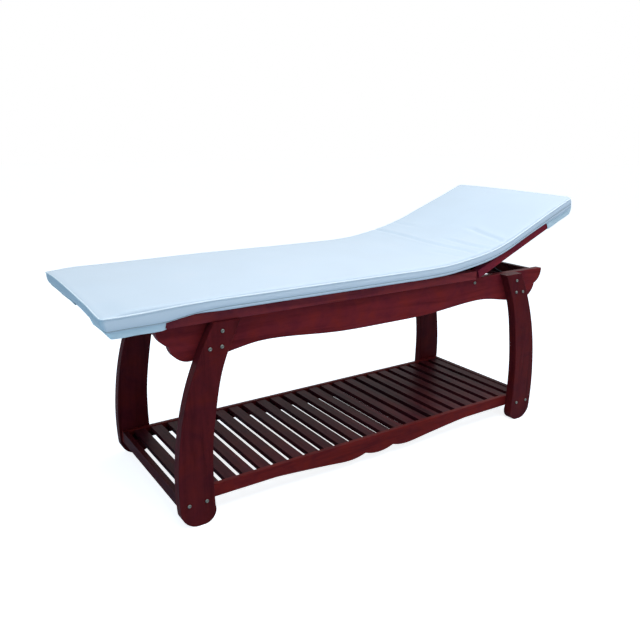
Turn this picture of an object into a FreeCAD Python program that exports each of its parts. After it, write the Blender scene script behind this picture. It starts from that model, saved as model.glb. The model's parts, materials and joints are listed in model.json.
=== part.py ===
import FreeCAD, Part
import math
import os

# A solid wood massage bed with an open slatted shelf, a lifting backrest and a padded mattress.
# Millimetres. +X points to the head end, +Z up, and the front side is at -Y.
# The origin is on the floor, under the middle of the bed's box with the backrest raised.

# Clearances
rest_clearance = 0.3
joint_clearance = 0.2
running_clearance = 0.05
bolt_hole_clearance = 0.3
soft_clearance = 0.4
crossbar_clearance = 0.4
cut_overrun = 5.0

# Whole bed
floor_to_apron_top = 621.5
apron_outer_y = 261.5
leg_inner_x = 561.0
edge_round = 2.5

# Legs, bowed boards bolted to the outside of the aprons
leg_thickness = 35.0
leg_sweep = 207.0
leg_outer_shares = [
    (0.411, 1.0), (0.661, 0.833), (0.864, 0.637), (0.988, 0.408),
    (1.024, 0.215), (1.005, 0.072),
]
leg_toe_shares = [(0.923, 0.026), (0.760, 0.0)]
leg_heel_shares = [(0.645, 0.0), (0.536, 0.016), (0.475, 0.080)]
leg_back_shares = [
    (0.475, 0.080), (0.490, 0.240), (0.478, 0.394), (0.400, 0.600),
    (0.299, 0.764), (0.164, 0.885), (0.0, 1.0),
]

# Aprons, the long scalloped boards under the deck
apron_thickness = 28.0
apron_end_reach = 35.0
apron_depth = 111.0
apron_end_shares = [(1.0, 0.0), (0.989, 0.333), (0.955, 0.527)]
apron_lobe_shares = [(0.955, 0.527), (0.9315, 0.860), (0.8705, 1.0)]
apron_belly_shares = [
    (0.8705, 1.0), (0.7684, 0.986), (0.692, 0.896), (0.610, 0.811),
    (0.539, 0.802), (0.433, 0.851), (0.254, 0.959), (0.0, 0.986),
]

# Cross rails between the aprons
cross_rail_inset = 40.0
cross_rail_thickness = 18.0
cross_rail_height = 60.0
tenon_length = 12.0
tenon_height_shares = (0.2, 0.8)
tenon_thickness_shares = (0.2, 0.8)

# Shelf
shelf_end_inset = 3.4
shelf_top = 99.5
shelf_rail_thickness = 18.0
shelf_rail_drop = 68.5
shelf_end_drop_share = 0.591
shelf_belly_shares = [(0.562, 0.591), (0.4185, 0.7226), (0.251, 0.912), (0.1805, 0.985), (0.0824, 0.825)]
shelf_tenon_length = 9.0
ledger_width = 16.0
ledger_height = 14.0
ledger_screw_count = 6
slat_count = 24
slat_width = 39.0
slat_foot_gap = 21.95
slat_head_gap = 3.95
slat_thickness = 16.0
slat_recess = 2.5

# Leg bolts and the threaded inserts that they turn into
leg_bolt_radius = 4.0
leg_bolt_head_radius = 6.5
leg_bolt_head_height = 3.6
bolt_dome_share = 0.85
insert_radius = 5.5
insert_length = 14.0
apron_bolt_shares = [(0.285, 0.2297), (0.2995, 0.6441), (0.4783, 0.6622)]
shelf_bolt_shares = [(0.884, 0.3431), (0.6135, 0.3431)]

# Deck frame, fixed part
deck_side_overhang = 21.0
deck_foot_overhang = 111.0
deck_hinge_gap = 16.0
rail_height = 30.5
rail_width = 30.0
panel_thickness = 12.0
batten_width = 60.0
deck_batten_shares = [0.2, 0.5, 0.8]

# Screws and plates
screw_radius = 2.0
screw_length = 14.0
screw_head_radius = 4.0
screw_head_height = 2.4
plate_thickness = 3.0
deck_bracket_leg = 30.0
deck_bracket_width = 20.0

# Hinge of the backrest
hinge_inset = 377.0
hinge_drop = 18.0
backrest_tilt = 23.4
pivot_radius = 4.0
pivot_head_radius = 6.5
pivot_head_height = 4.0
pivot_washer_radius = 9.0
pivot_washer_thickness = 2.0
pivot_nut_across = 13.0
pivot_nut_height = 6.5
pivot_tip = 2.5
nut_sides = 6
hinge_plate_thickness = 4.0
hinge_ear_radius = 14.0
hinge_flange_length = 40.0
hinge_flange_width = 34.0
hinge_screw_along_shares = (0.25, 0.75)
hinge_screw_across_share = 0.7

# Backrest frame, sizes as it lies flat, measured from the hinge axis
backrest_start = 10.5
backrest_length = 526.5
hinge_rail_width = 45.0
backrest_batten_shares = [0.265, 0.56, 0.82]

# Prop under the backrest and its notched racks
prop_pivot_reach = 150.0
prop_pivot_height = 2.0
prop_rail_gap = 11.0
prop_leg_width = 24.0
prop_leg_thickness = 18.0
prop_leg_inset = 30.7
crossbar_radius = 8.0
crossbar_end_gap = 4.5
crossbar_drop = 23.5
prop_bolt_radius = 4.0
prop_ear_radius = 12.0
prop_flange_length = 40.0
rack_thickness = 22.0
rack_height = 30.0
rack_notch_pitch = 14.7
rack_notch_count = 4
rack_notches_past = 2
rack_notch_depth = 2.2
rack_end_margin = 14.0
rack_screw_along_shares = (0.2, 0.8)
rack_screw_depth_share = 0.55

# Mattress, one padded length modelled as a fixed part, a bend over the hinge and a raised part
mattress_side_overhang = 16.5
mattress_thickness = 61.0
mattress_bulge = 6.0
mattress_crown = 6.0
end_crown = 2.0
end_draw_in = 6.0
foot_nose = 43.0
foot_reach_shares = [1.0, 0.7907, 0.5581, 0.2326, 0.0930]
foot_rise_shares = [0.2230, -0.0393, -0.1951, -0.1541, 0.0]
foot_thickness_shares = [0.1885, 0.4754, 0.6475, 0.6066, 0.4508]
main_reach_shares = [0.0483, 0.1767, 0.3165, 0.7145, 0.8263, 0.8905, 0.9509]
main_rise_shares = [0.0, 0.0, 0.0, 0.0, 0.0, 0.0836, 0.2475]
main_thickness_shares = [0.4590, 0.7049, 0.8361, 0.8852, 0.9344, 0.9836, 1.0]
main_tilt_shares = [0.0, 0.0, 0.0, 0.0, 0.0641, 0.2350, 0.3120]
bend_reach_shares = [0.4212, 0.6690]
bend_rise_shares = [0.3606, 0.6010]
bend_thickness_shares = [1.0164, 1.0]
bend_tilt_shares = [0.3846, 0.4615]
head_reach_shares = [0.1313, 0.2235, 0.3352, 0.4693, 0.8007, 0.9683, 1.0261, 1.0428]
head_rise_shares = [0.2082, 0.0869, 0.0098, 0.0033, 0.0033, 0.0033, 0.0213, 0.1443]
head_thickness_shares = [0.9672, 0.9344, 0.9180, 0.8852, 0.7541, 0.6557, 0.5574, 0.2787]
head_tilt_shares = [-0.4444, -0.2564, -0.0641, 0.0, 0.0, 0.0, 0.0, 0.0]

# Corner pockets that hold the mattress on the deck
pocket_length = 138.0
pocket_cloth = 2.2
pocket_drop = 2.6

# Places that follow from the sizes above
apron_half_length = leg_inner_x + leg_sweep + apron_end_reach
apron_inner_y = apron_outer_y - apron_thickness
leg_outer_y = apron_outer_y + leg_thickness
cross_rail_outer_x = apron_half_length - cross_rail_inset
cross_rail_inner_x = cross_rail_outer_x - cross_rail_thickness
shelf_half_length = leg_inner_x + leg_sweep - shelf_end_inset
shelf_inner_y = apron_outer_y - shelf_rail_thickness
ledger_half_length = shelf_half_length - shelf_rail_thickness
ledger_top = shelf_top - slat_recess - slat_thickness
deck_bottom = floor_to_apron_top
deck_top = deck_bottom + rail_height
deck_outer_y = apron_outer_y + deck_side_overhang
rail_inner_y = deck_outer_y - rail_width
deck_foot_x = -apron_half_length - deck_foot_overhang
hinge_x = apron_half_length - hinge_inset
hinge_z = floor_to_apron_top - hinge_drop
deck_hinge_x = hinge_x - deck_hinge_gap
backrest_bottom = hinge_drop + rest_clearance
backrest_top = backrest_bottom + rail_height
backrest_end = backrest_start + backrest_length
prop_length = cross_rail_inner_x - prop_rail_gap - crossbar_radius - hinge_x - prop_pivot_reach
prop_leg_outer_y = apron_inner_y - prop_leg_inset
crossbar_end_y = apron_inner_y - crossbar_end_gap
crossbar_rest_z = floor_to_apron_top - crossbar_drop
rack_top = crossbar_rest_z - crossbar_radius - crossbar_clearance
seam_half_width = deck_outer_y + mattress_side_overhang
hinge = FreeCAD.Vector(hinge_x, 0, hinge_z)
parts = {}


def vec(x, y, z):
    return FreeCAD.Vector(x, y, z)


def block(x0, x1, y0, y1, z0, z1):
    return Part.makeBox(x1 - x0, y1 - y0, z1 - z0, vec(x0, y0, z0))


def rod(x, y0, y1, z, radius):
    return Part.makeCylinder(radius, y1 - y0, vec(x, y0, z), vec(0, 1, 0))


def through_hole(x, y0, y1, z, radius):
    """A cutter across the bed that runs right through from y0 to y1."""
    return rod(x, y0 - cut_overrun, y1 + cut_overrun, z, radius)


def upright(x, y, z0, z1, radius):
    return Part.makeCylinder(radius, z1 - z0, vec(x, y, z0), vec(0, 0, 1))


def to_rear(shape):
    return shape.mirror(vec(0, 0, 0), vec(0, 1, 0))


def to_foot(shape):
    return shape.mirror(vec(0, 0, 0), vec(1, 0, 0))


def board(edges, y0, y1):
    face = Part.Face(Part.Wire(Part.__sortEdges__(edges)))
    return face.extrude(vec(0, y1 - y0, 0))


def curve_through(points):
    curve = Part.BSplineCurve()
    curve.interpolate(points)
    return curve.toShape()


def arc_through(points):
    return Part.Arc(points[0], points[1], points[2]).toShape()


def line_between(a, b):
    return Part.LineSegment(a, b).toShape()


def runs_across(edge):
    return abs(edge.Vertexes[0].Y - edge.Vertexes[-1].Y) > edge_round


# Legs
def apron_bolt_places():
    return [
        (leg_inner_x + along * leg_sweep, floor_to_apron_top - down * apron_depth)
        for along, down in apron_bolt_shares
    ]


def shelf_bolt_places():
    return [
        (leg_inner_x + along * leg_sweep, shelf_top - down * shelf_rail_drop)
        for along, down in shelf_bolt_shares
    ]


def leg_point(share, y):
    return vec(leg_inner_x + share[0] * leg_sweep, y, share[1] * floor_to_apron_top)


def leg_board():
    y = -leg_outer_y
    outer = [leg_point(s, y) for s in leg_outer_shares]
    toe = [leg_point(s, y) for s in leg_toe_shares]
    heel = [leg_point(s, y) for s in leg_heel_shares]
    back = [leg_point(s, y) for s in leg_back_shares]
    edges = [
        curve_through(outer),
        arc_through([outer[-1], toe[0], toe[1]]),
        line_between(toe[1], heel[0]),
        arc_through(heel),
        curve_through(back),
        line_between(back[-1], outer[0]),
    ]
    leg = board(edges, -leg_outer_y, -apron_outer_y)
    curved = [e for e in leg.Edges if not runs_across(e) and e.Length > leg_sweep]
    leg = leg.makeFillet(edge_round, curved)
    for x, z in apron_bolt_places() + shelf_bolt_places():
        hole = through_hole(x, -leg_outer_y, -apron_outer_y, z, leg_bolt_radius + bolt_hole_clearance)
        leg = leg.cut(hole)
    return leg


def domed_bolt(x, z, head_y, tip_y, radius, head_radius, head_height):
    shank = rod(x, head_y, tip_y, z, radius)
    head = rod(x, head_y - head_height, head_y, z, head_radius)
    rim = [e for e in head.Edges if e.CenterOfMass.y < head_y - head_height / 2 and e.Closed]
    return head.makeFillet(head_height * bolt_dome_share, rim).fuse(shank).removeSplitter()


def leg_bolt(x, z):
    head = (leg_bolt_head_radius, leg_bolt_head_height)
    return domed_bolt(x, z, -leg_outer_y, -apron_outer_y + insert_length, leg_bolt_radius, *head)


def leg_insert(x, z):
    sleeve = rod(x, -apron_outer_y, -apron_outer_y + insert_length, z, insert_radius)
    bore = through_hole(x, -apron_outer_y, -apron_outer_y + insert_length, z, leg_bolt_radius + running_clearance)
    return sleeve.cut(bore)


def insert_hole(x, z):
    radius = insert_radius + running_clearance
    return rod(x, -apron_outer_y - cut_overrun, -apron_outer_y + insert_length, z, radius)


def at_four_corners(shape):
    rear = to_rear(shape)
    return [shape, rear, to_foot(shape), to_foot(rear)]


def make_legs():
    leg = leg_board()
    parts["leg_front_head"] = leg
    parts["leg_rear_head"] = to_rear(leg)
    parts["leg_front_foot"] = to_foot(leg)
    parts["leg_rear_foot"] = to_rear(to_foot(leg))
    bolts = []
    inserts = []
    for x, z in apron_bolt_places() + shelf_bolt_places():
        bolts += at_four_corners(leg_bolt(x, z))
        inserts += at_four_corners(leg_insert(x, z))
    parts["leg_bolts"] = Part.makeCompound(bolts)
    parts["leg_insert_nuts"] = Part.makeCompound(inserts)


# Aprons and cross rails
def apron_point(share, side):
    return vec(side * share[0] * apron_half_length, -apron_outer_y, floor_to_apron_top - share[1] * apron_depth)


def apron_board():
    edges = []
    for side in (1, -1):
        edges.append(arc_through([apron_point(s, side) for s in apron_end_shares]))
        edges.append(arc_through([apron_point(s, side) for s in apron_lobe_shares]))
    right = [apron_point(s, 1) for s in apron_belly_shares]
    left = [apron_point(s, -1) for s in reversed(apron_belly_shares[:-1])]
    edges.append(curve_through(right + left))
    edges.append(line_between(apron_point(apron_end_shares[0], 1), apron_point(apron_end_shares[0], -1)))
    apron = board(edges, -apron_outer_y, -apron_inner_y)
    long_edges = [e for e in apron.Edges if not runs_across(e) and e.Length > apron_half_length]
    return apron.makeFillet(edge_round, long_edges)


def cross_rail(outer_x, thickness, z0, z1, inner_y, tenon):
    body = block(outer_x - thickness, outer_x, -inner_y, inner_y, z0, z1)
    return body.fuse(cross_tenons(outer_x, thickness, z0, z1, inner_y, tenon, 0)).removeSplitter()


def cross_tenons(outer_x, thickness, z0, z1, inner_y, tenon, clearance):
    low = z0 + (z1 - z0) * tenon_height_shares[0] - clearance
    high = z0 + (z1 - z0) * tenon_height_shares[1] + clearance
    inner = outer_x - thickness * tenon_thickness_shares[1] - clearance
    outer = outer_x - thickness * tenon_thickness_shares[0] + clearance
    reach = inner_y + tenon + clearance
    return block(inner, outer, -reach, reach, low, high)


def make_aprons():
    z1 = floor_to_apron_top
    z0 = z1 - cross_rail_height
    placed = (cross_rail_outer_x, cross_rail_thickness, z0, z1, apron_inner_y, tenon_length)
    rail = cross_rail(*placed)
    mortise = cross_tenons(*placed, joint_clearance)
    apron = apron_board()
    for cutter in (mortise, to_foot(mortise)):
        apron = apron.cut(cutter)
    for x, z in apron_bolt_places():
        for hole in (insert_hole(x, z), to_foot(insert_hole(x, z))):
            apron = apron.cut(hole)
    pivot_bore = pivot_radius + running_clearance
    apron = apron.cut(through_hole(hinge_x, -apron_outer_y, -apron_inner_y, hinge_z, pivot_bore))
    for tool in apron_screw_holes():
        apron = apron.cut(tool)
    parts["apron_front"] = apron
    parts["apron_rear"] = to_rear(apron)
    parts["cross_rail_head"] = rail
    parts["cross_rail_foot"] = to_foot(rail)


# Screws
def screw_up(x, y, z):
    """A screw driven upwards: its head hangs under the face at z."""
    shank = upright(x, y, z, z + screw_length, screw_radius)
    head = upright(x, y, z - screw_head_height, z, screw_head_radius)
    return head.fuse(shank).removeSplitter()


def screw_up_hole(x, y, z):
    tip = z + screw_length + running_clearance
    return upright(x, y, z - cut_overrun, tip, screw_radius + running_clearance)


def screw_out(x, y, z):
    """A screw driven outwards into the front apron: its head stands on the face at y."""
    shank = rod(x, y - screw_length, y, z, screw_radius)
    head = rod(x, y, y + screw_head_height, z, screw_head_radius)
    return head.fuse(shank).removeSplitter()


def screw_out_hole(x, y, z):
    tip = y - screw_length - running_clearance
    return rod(x, tip, y + cut_overrun, z, screw_radius + running_clearance)


def screw_down(x, y, z):
    """A countersunk screw driven down, flush with the face at z."""
    shank = upright(x, y, z - screw_length, z, screw_radius)
    low = vec(x, y, z - screw_head_height)
    head = Part.makeCone(screw_radius, screw_head_radius, screw_head_height, low)
    return head.fuse(shank).removeSplitter()


def screw_down_hole(x, y, z):
    tip = z - screw_length - running_clearance
    shank = upright(x, y, tip, z + cut_overrun, screw_radius + running_clearance)
    head = Part.makeCone(
        screw_radius + running_clearance,
        screw_head_radius + running_clearance,
        screw_head_height,
        vec(x, y, z - screw_head_height),
    )
    return head.fuse(shank)


# Shelf
def shelf_point(share, side):
    return vec(side * share[0] * shelf_half_length, -apron_outer_y, shelf_top - share[1] * shelf_rail_drop)


def shelf_rail_board():
    edges = []
    for side in (1, -1):
        corner = shelf_point((1.0, shelf_end_drop_share), side)
        edges.append(line_between(shelf_point((1.0, 0.0), side), corner))
        edges.append(line_between(corner, shelf_point(shelf_belly_shares[0], side)))
        edges.append(curve_through([shelf_point(s, side) for s in shelf_belly_shares]))
    cusp = shelf_belly_shares[-1]
    edges.append(arc_through([shelf_point(cusp, 1), shelf_point((0.0, 1.0), 1), shelf_point(cusp, -1)]))
    edges.append(line_between(shelf_point((1.0, 0.0), 1), shelf_point((1.0, 0.0), -1)))
    rail = board(edges, -apron_outer_y, -shelf_inner_y)
    top_edges = [e for e in rail.Edges if not runs_across(e) and e.Length > shelf_half_length]
    return rail.makeFillet(edge_round, top_edges)


def ledger_screw_places():
    step = 2 * ledger_half_length / ledger_screw_count
    z = ledger_top - ledger_height / 2
    return [(-ledger_half_length + step * i + step / 2, z) for i in range(ledger_screw_count)]


def make_shelf():
    z0 = shelf_top - shelf_end_drop_share * shelf_rail_drop
    placed = (shelf_half_length, shelf_rail_thickness, z0, shelf_top, shelf_inner_y, shelf_tenon_length)
    end_rail = cross_rail(*placed)
    mortise = cross_tenons(*placed, joint_clearance)
    rail = shelf_rail_board()
    for cutter in (mortise, to_foot(mortise)):
        rail = rail.cut(cutter)
    for x, z in shelf_bolt_places():
        for hole in (insert_hole(x, z), to_foot(insert_hole(x, z))):
            rail = rail.cut(hole)
    ledger_inner_y = shelf_inner_y - ledger_width
    half = ledger_half_length
    ledger = block(-half, half, -shelf_inner_y, -ledger_inner_y, ledger_top - ledger_height, ledger_top)
    screws = []
    for x, z in ledger_screw_places():
        screw = ledger_screw(x, z, 0)
        screws += [screw, to_rear(screw)]
        ledger = ledger.cut(ledger_screw(x, z, running_clearance))
        rail = rail.cut(ledger_screw(x, z, running_clearance))
    parts["shelf_rail_front"] = rail
    parts["shelf_rail_rear"] = to_rear(rail)
    parts["shelf_end_rail_head"] = end_rail
    parts["shelf_end_rail_foot"] = to_foot(end_rail)
    parts["shelf_ledger_front"] = ledger
    parts["shelf_ledger_rear"] = to_rear(ledger)
    parts["shelf_ledger_screws"] = Part.makeCompound(screws)
    slats = []
    slat_half = shelf_inner_y - joint_clearance
    first = -ledger_half_length + slat_foot_gap + slat_width / 2
    last = ledger_half_length - slat_head_gap - slat_width / 2
    for i in range(slat_count):
        x = first + (last - first) * i / (slat_count - 1)
        x0 = x - slat_width / 2
        slats.append(block(x0, x0 + slat_width, -slat_half, slat_half, ledger_top, ledger_top + slat_thickness))
    parts["shelf_slats"] = Part.makeCompound(slats)


def ledger_screw(x, z, clearance):
    """A sunk screw that goes through the front ledger into its rail."""
    inner = -shelf_inner_y + ledger_width
    shank = rod(x, inner - ledger_width - screw_length / 2 - clearance, inner, z, screw_radius + clearance)
    head = Part.makeCone(
        screw_radius + clearance,
        screw_head_radius + clearance,
        screw_head_height,
        vec(x, inner - screw_head_height, z),
        vec(0, 1, 0),
    )
    return head.fuse(shank).removeSplitter()


# Deck frames
def side_rail(x0, x1, z0):
    return block(x0, x1, -deck_outer_y, -rail_inner_y, z0, z0 + rail_height)


def frame_set(x0, x1, z0, first_width, last_width, batten_xs):
    """Side rail, end rails, battens, panel and panel screws of one deck frame."""
    z1 = z0 + rail_height
    panel_z = z1 - panel_thickness
    members = [(x0 + first_width, first_width, z1), (x1, last_width, z1)]
    members += [(x + batten_width / 2, batten_width, panel_z) for x in batten_xs]
    rail = side_rail(x0, x1, z0)
    built = []
    for outer_x, width, top in members:
        built.append(cross_rail(outer_x, width, z0, top, rail_inner_y, tenon_length))
        rail = rail.cut(cross_tenons(outer_x, width, z0, top, rail_inner_y, tenon_length, joint_clearance))
    long_edges = [e for e in rail.Edges if e.Length > (x1 - x0) / 2]
    outer_edges = [e for e in long_edges if e.CenterOfMass.y < -deck_outer_y + edge_round]
    rail = rail.makeFillet(edge_round, outer_edges)
    px0 = x0 + first_width + joint_clearance
    px1 = x1 - last_width - joint_clearance
    py = rail_inner_y - joint_clearance
    panel = block(px0, px1, -py, py, panel_z, z1)
    battens = built[2:]
    screws = []
    for i, x in enumerate(batten_xs):
        for y in (-rail_inner_y / 2, 0, rail_inner_y / 2):
            screws.append(screw_down(x, y, z1))
            panel = panel.cut(screw_down_hole(x, y, z1))
            battens[i] = battens[i].cut(screw_down_hole(x, y, z1))
    return rail, built[0], built[1], battens, panel, screws


def deck_batten_places():
    return [deck_foot_x + share * (deck_hinge_x - deck_foot_x) for share in deck_batten_shares]


def make_deck():
    xs = deck_batten_places()
    rail, foot, hinge_end, battens, panel, screws = frame_set(
        deck_foot_x, deck_hinge_x, deck_bottom, rail_width, rail_width, xs
    )
    brackets = []
    bracket_screws = []
    for i, x in enumerate(xs):
        bracket = deck_bracket(x)
        for place in deck_bracket_screw_places(x):
            bracket = bracket.cut(place[1])
            bracket_screws += [place[0], to_rear(place[0])]
            battens[i] = battens[i].cut(place[1]).cut(to_rear(place[1]))
        brackets += [bracket, to_rear(bracket)]
    parts["deck_rail_front"] = rail
    parts["deck_rail_rear"] = to_rear(rail)
    parts["deck_end_rail_foot"] = foot
    parts["deck_end_rail_hinge"] = hinge_end
    parts["deck_battens"] = Part.makeCompound(battens)
    parts["deck_panel"] = panel
    parts["deck_panel_screws"] = Part.makeCompound(screws)
    parts["deck_angle_brackets"] = Part.makeCompound(brackets)
    parts["deck_bracket_screws"] = Part.makeCompound(bracket_screws)


def deck_bracket(x):
    x0 = x - deck_bracket_width / 2
    x1 = x + deck_bracket_width / 2
    y = -apron_inner_y
    upright_leg = block(x0, x1, y, y + plate_thickness, deck_bottom - deck_bracket_leg, deck_bottom)
    flat_leg = block(x0, x1, y, y + deck_bracket_leg, deck_bottom - plate_thickness, deck_bottom)
    return upright_leg.fuse(flat_leg).removeSplitter()


def deck_bracket_screw_places(x):
    """Screw and hole, first up into the batten, then out into the apron."""
    up_y = -apron_inner_y + deck_bracket_leg / 2
    up_z = deck_bottom - plate_thickness
    out_y = -apron_inner_y + plate_thickness
    out_z = deck_bottom - deck_bracket_leg / 2
    return [
        (screw_up(x, up_y, up_z), screw_up_hole(x, up_y, up_z)),
        (screw_out(x, out_y, out_z), screw_out_hole(x, out_y, out_z)),
    ]


def apron_screw_holes():
    holes = [deck_bracket_screw_places(x)[1][1] for x in deck_batten_places()]
    holes += [hole for screw, hole in rack_screw_places()]
    return holes


# Backrest, built flat with its hinge axis at the hinge place
def backrest_x(reach):
    return hinge_x + reach


def backrest_z(height):
    return hinge_z + height


def batten_reaches():
    return [backrest_start + share * backrest_length for share in backrest_batten_shares]


def make_backrest():
    xs = [backrest_x(r) for r in batten_reaches()]
    rail, hinge_rail, top_rail, battens, panel, screws = frame_set(
        backrest_x(backrest_start),
        backrest_x(backrest_end),
        backrest_z(backrest_bottom),
        hinge_rail_width,
        rail_width,
        xs,
    )
    hinge_plate = hinge_bracket()
    hinge_screws = []
    for x, y, z in hinge_screw_places():
        screw = screw_up(x, y, z)
        hole = screw_up_hole(x, y, z)
        hinge_screws += [screw, to_rear(screw)]
        hinge_plate = hinge_plate.cut(hole)
        hinge_rail = hinge_rail.cut(hole).cut(to_rear(hole))
    prop_plate = prop_bracket()
    prop_screws = []
    for x, y, z in prop_screw_places():
        screw = screw_up(x, y, z)
        hole = screw_up_hole(x, y, z)
        prop_screws += [screw, to_rear(screw)]
        prop_plate = prop_plate.cut(hole)
        battens[0] = battens[0].cut(hole).cut(to_rear(hole))
    parts["backrest_rail_front"] = raised(rail)
    parts["backrest_rail_rear"] = raised(to_rear(rail))
    parts["backrest_end_rail_hinge"] = raised(hinge_rail)
    parts["backrest_end_rail_head"] = raised(top_rail)
    parts["backrest_battens"] = raised(Part.makeCompound(battens))
    parts["backrest_panel"] = raised(panel)
    parts["backrest_panel_screws"] = raised(Part.makeCompound(screws))
    parts["hinge_bracket_front"] = raised(hinge_plate)
    parts["hinge_bracket_rear"] = raised(to_rear(hinge_plate))
    parts["hinge_bracket_screws"] = raised(Part.makeCompound(hinge_screws))
    parts["prop_bracket_front"] = raised(prop_plate)
    parts["prop_bracket_rear"] = raised(to_rear(prop_plate))
    parts["prop_bracket_screws"] = raised(Part.makeCompound(prop_screws))


def raised(shape):
    turned = shape.copy()
    turned.rotate(hinge, vec(0, -1, 0), backrest_tilt)
    return turned


def hinge_ear_outer_y():
    return apron_inner_y - pivot_washer_thickness - joint_clearance


def hinge_bracket():
    outer = -hinge_ear_outer_y()
    inner = outer + hinge_plate_thickness
    flange_top = backrest_z(backrest_bottom)
    flange_low = flange_top - hinge_plate_thickness
    x0 = backrest_x(backrest_start)
    x1 = x0 + hinge_flange_length
    disc = rod(hinge_x, outer, inner, hinge_z, hinge_ear_radius)
    web = ear_web(outer, inner, x0, x1, flange_top)
    flange = block(x0, x1, outer, outer + hinge_flange_width, flange_low, flange_top)
    ear = disc.fuse([web, flange]).removeSplitter()
    bore = through_hole(hinge_x, outer, inner, hinge_z, pivot_radius + running_clearance)
    return ear.cut(bore)


def ear_web(outer, inner, x0, x1, top):
    """The plate between the hinge eye and the flange, a wedge that touches the eye."""
    points = [
        vec(hinge_x, outer, hinge_z - hinge_ear_radius),
        vec(x1, outer, top - hinge_plate_thickness),
        vec(x1, outer, top),
        vec(x0, outer, top),
        vec(hinge_x, outer, hinge_z),
    ]
    wire = Part.makePolygon(points + [points[0]])
    return Part.Face(wire).extrude(vec(0, inner - outer, 0))


def hinge_screw_places():
    z = backrest_z(backrest_bottom) - hinge_plate_thickness
    y = -hinge_ear_outer_y() + hinge_flange_width * hinge_screw_across_share
    x0 = backrest_x(backrest_start)
    return [(x0 + hinge_flange_length * share, y, z) for share in hinge_screw_along_shares]


def hex_nut(x, y0, y1, z, across, bore):
    radius = across / math.sqrt(3)
    points = []
    for i in range(nut_sides + 1):
        angle = 2 * math.pi * i / nut_sides
        points.append(vec(x + radius * math.cos(angle), y0, z + radius * math.sin(angle)))
    nut = Part.Face(Part.makePolygon(points)).extrude(vec(0, y1 - y0, 0))
    return nut.cut(through_hole(x, y0, y1, z, bore))


def make_hinge_hardware():
    ear_inner_y = -hinge_ear_outer_y() + hinge_plate_thickness
    washer_y = ear_inner_y + joint_clearance
    nut_y = washer_y + pivot_washer_thickness
    tip_y = nut_y + pivot_nut_height + pivot_tip
    head = (pivot_head_radius, pivot_head_height)
    bolt = domed_bolt(hinge_x, hinge_z, -apron_outer_y, tip_y, pivot_radius, *head)
    bore = pivot_radius + running_clearance
    washers = []
    for y in (-apron_inner_y, washer_y):
        disc = rod(hinge_x, y, y + pivot_washer_thickness, hinge_z, pivot_washer_radius)
        washer = disc.cut(through_hole(hinge_x, y, y, hinge_z, bore))
        washers += [washer, to_rear(washer)]
    nut = hex_nut(hinge_x, nut_y, nut_y + pivot_nut_height, hinge_z, pivot_nut_across, bore)
    parts["pivot_bolt_front"] = bolt
    parts["pivot_bolt_rear"] = to_rear(bolt)
    parts["pivot_washers"] = Part.makeCompound(washers)
    parts["pivot_nuts"] = Part.makeCompound([nut, to_rear(nut)])


# Prop and racks
def prop_pivot_flat():
    return vec(backrest_x(prop_pivot_reach), 0, backrest_z(prop_pivot_height))


def prop_pivot_rest():
    tilt = math.radians(backrest_tilt)
    reach = prop_pivot_reach * math.cos(tilt) - prop_pivot_height * math.sin(tilt)
    rise = prop_pivot_reach * math.sin(tilt) + prop_pivot_height * math.cos(tilt)
    return vec(hinge_x + reach, 0, hinge_z + rise)


def prop_foot_rest():
    top = prop_pivot_rest()
    drop = top.z - crossbar_rest_z
    return vec(top.x + math.sqrt(prop_length**2 - drop**2), 0, crossbar_rest_z)


def prop_bracket():
    centre = prop_pivot_flat()
    inner = -prop_leg_outer_y - joint_clearance
    outer = inner - plate_thickness
    flange_top = backrest_z(backrest_bottom)
    x0 = centre.x - prop_flange_length / 2
    x1 = centre.x + prop_flange_length / 2
    disc = rod(centre.x, outer, inner, centre.z, prop_ear_radius)
    web = block(centre.x - prop_ear_radius, centre.x + prop_ear_radius, outer, inner, centre.z, flange_top)
    flange = block(x0, x1, outer - prop_flange_width(), inner, flange_top - plate_thickness, flange_top)
    ear = disc.fuse([web, flange]).removeSplitter()
    return ear.cut(through_hole(centre.x, outer, inner, centre.z, prop_bolt_radius + running_clearance))


def prop_flange_width():
    return 4 * screw_head_radius + plate_thickness


def prop_screw_places():
    centre = prop_pivot_flat()
    z = backrest_z(backrest_bottom) - plate_thickness
    y = -prop_leg_outer_y - plate_thickness - prop_flange_width() / 2
    reach = prop_flange_length / 2 - screw_head_radius - plate_thickness
    return [(centre.x - reach, y, z), (centre.x + reach, y, z)]


def prop_leg():
    top = prop_pivot_rest()
    foot = prop_foot_rest()
    y0 = -prop_leg_outer_y
    y1 = y0 + prop_leg_thickness
    along = foot - top
    along.normalize()
    across = vec(-along.z, 0, along.x) * (prop_leg_width / 2)
    level = vec(0, y0, 0)
    a = top + across + level
    b = foot + across + level
    c = foot - across + level
    d = top - across + level
    foot_mid = foot + along * (prop_leg_width / 2) + level
    top_mid = top - along * (prop_leg_width / 2) + level
    foot_end = arc_through([b, foot_mid, c])
    top_end = arc_through([d, top_mid, a])
    edges = [line_between(a, b), foot_end, line_between(c, d), top_end]
    leg = board(edges, y0, y1)
    bolt_hole = through_hole(top.x, y0, y1, top.z, prop_bolt_radius + running_clearance)
    bar_hole = through_hole(foot.x, y0, y1, foot.z, crossbar_radius + running_clearance)
    return leg.cut(bolt_hole).cut(bar_hole)


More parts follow.
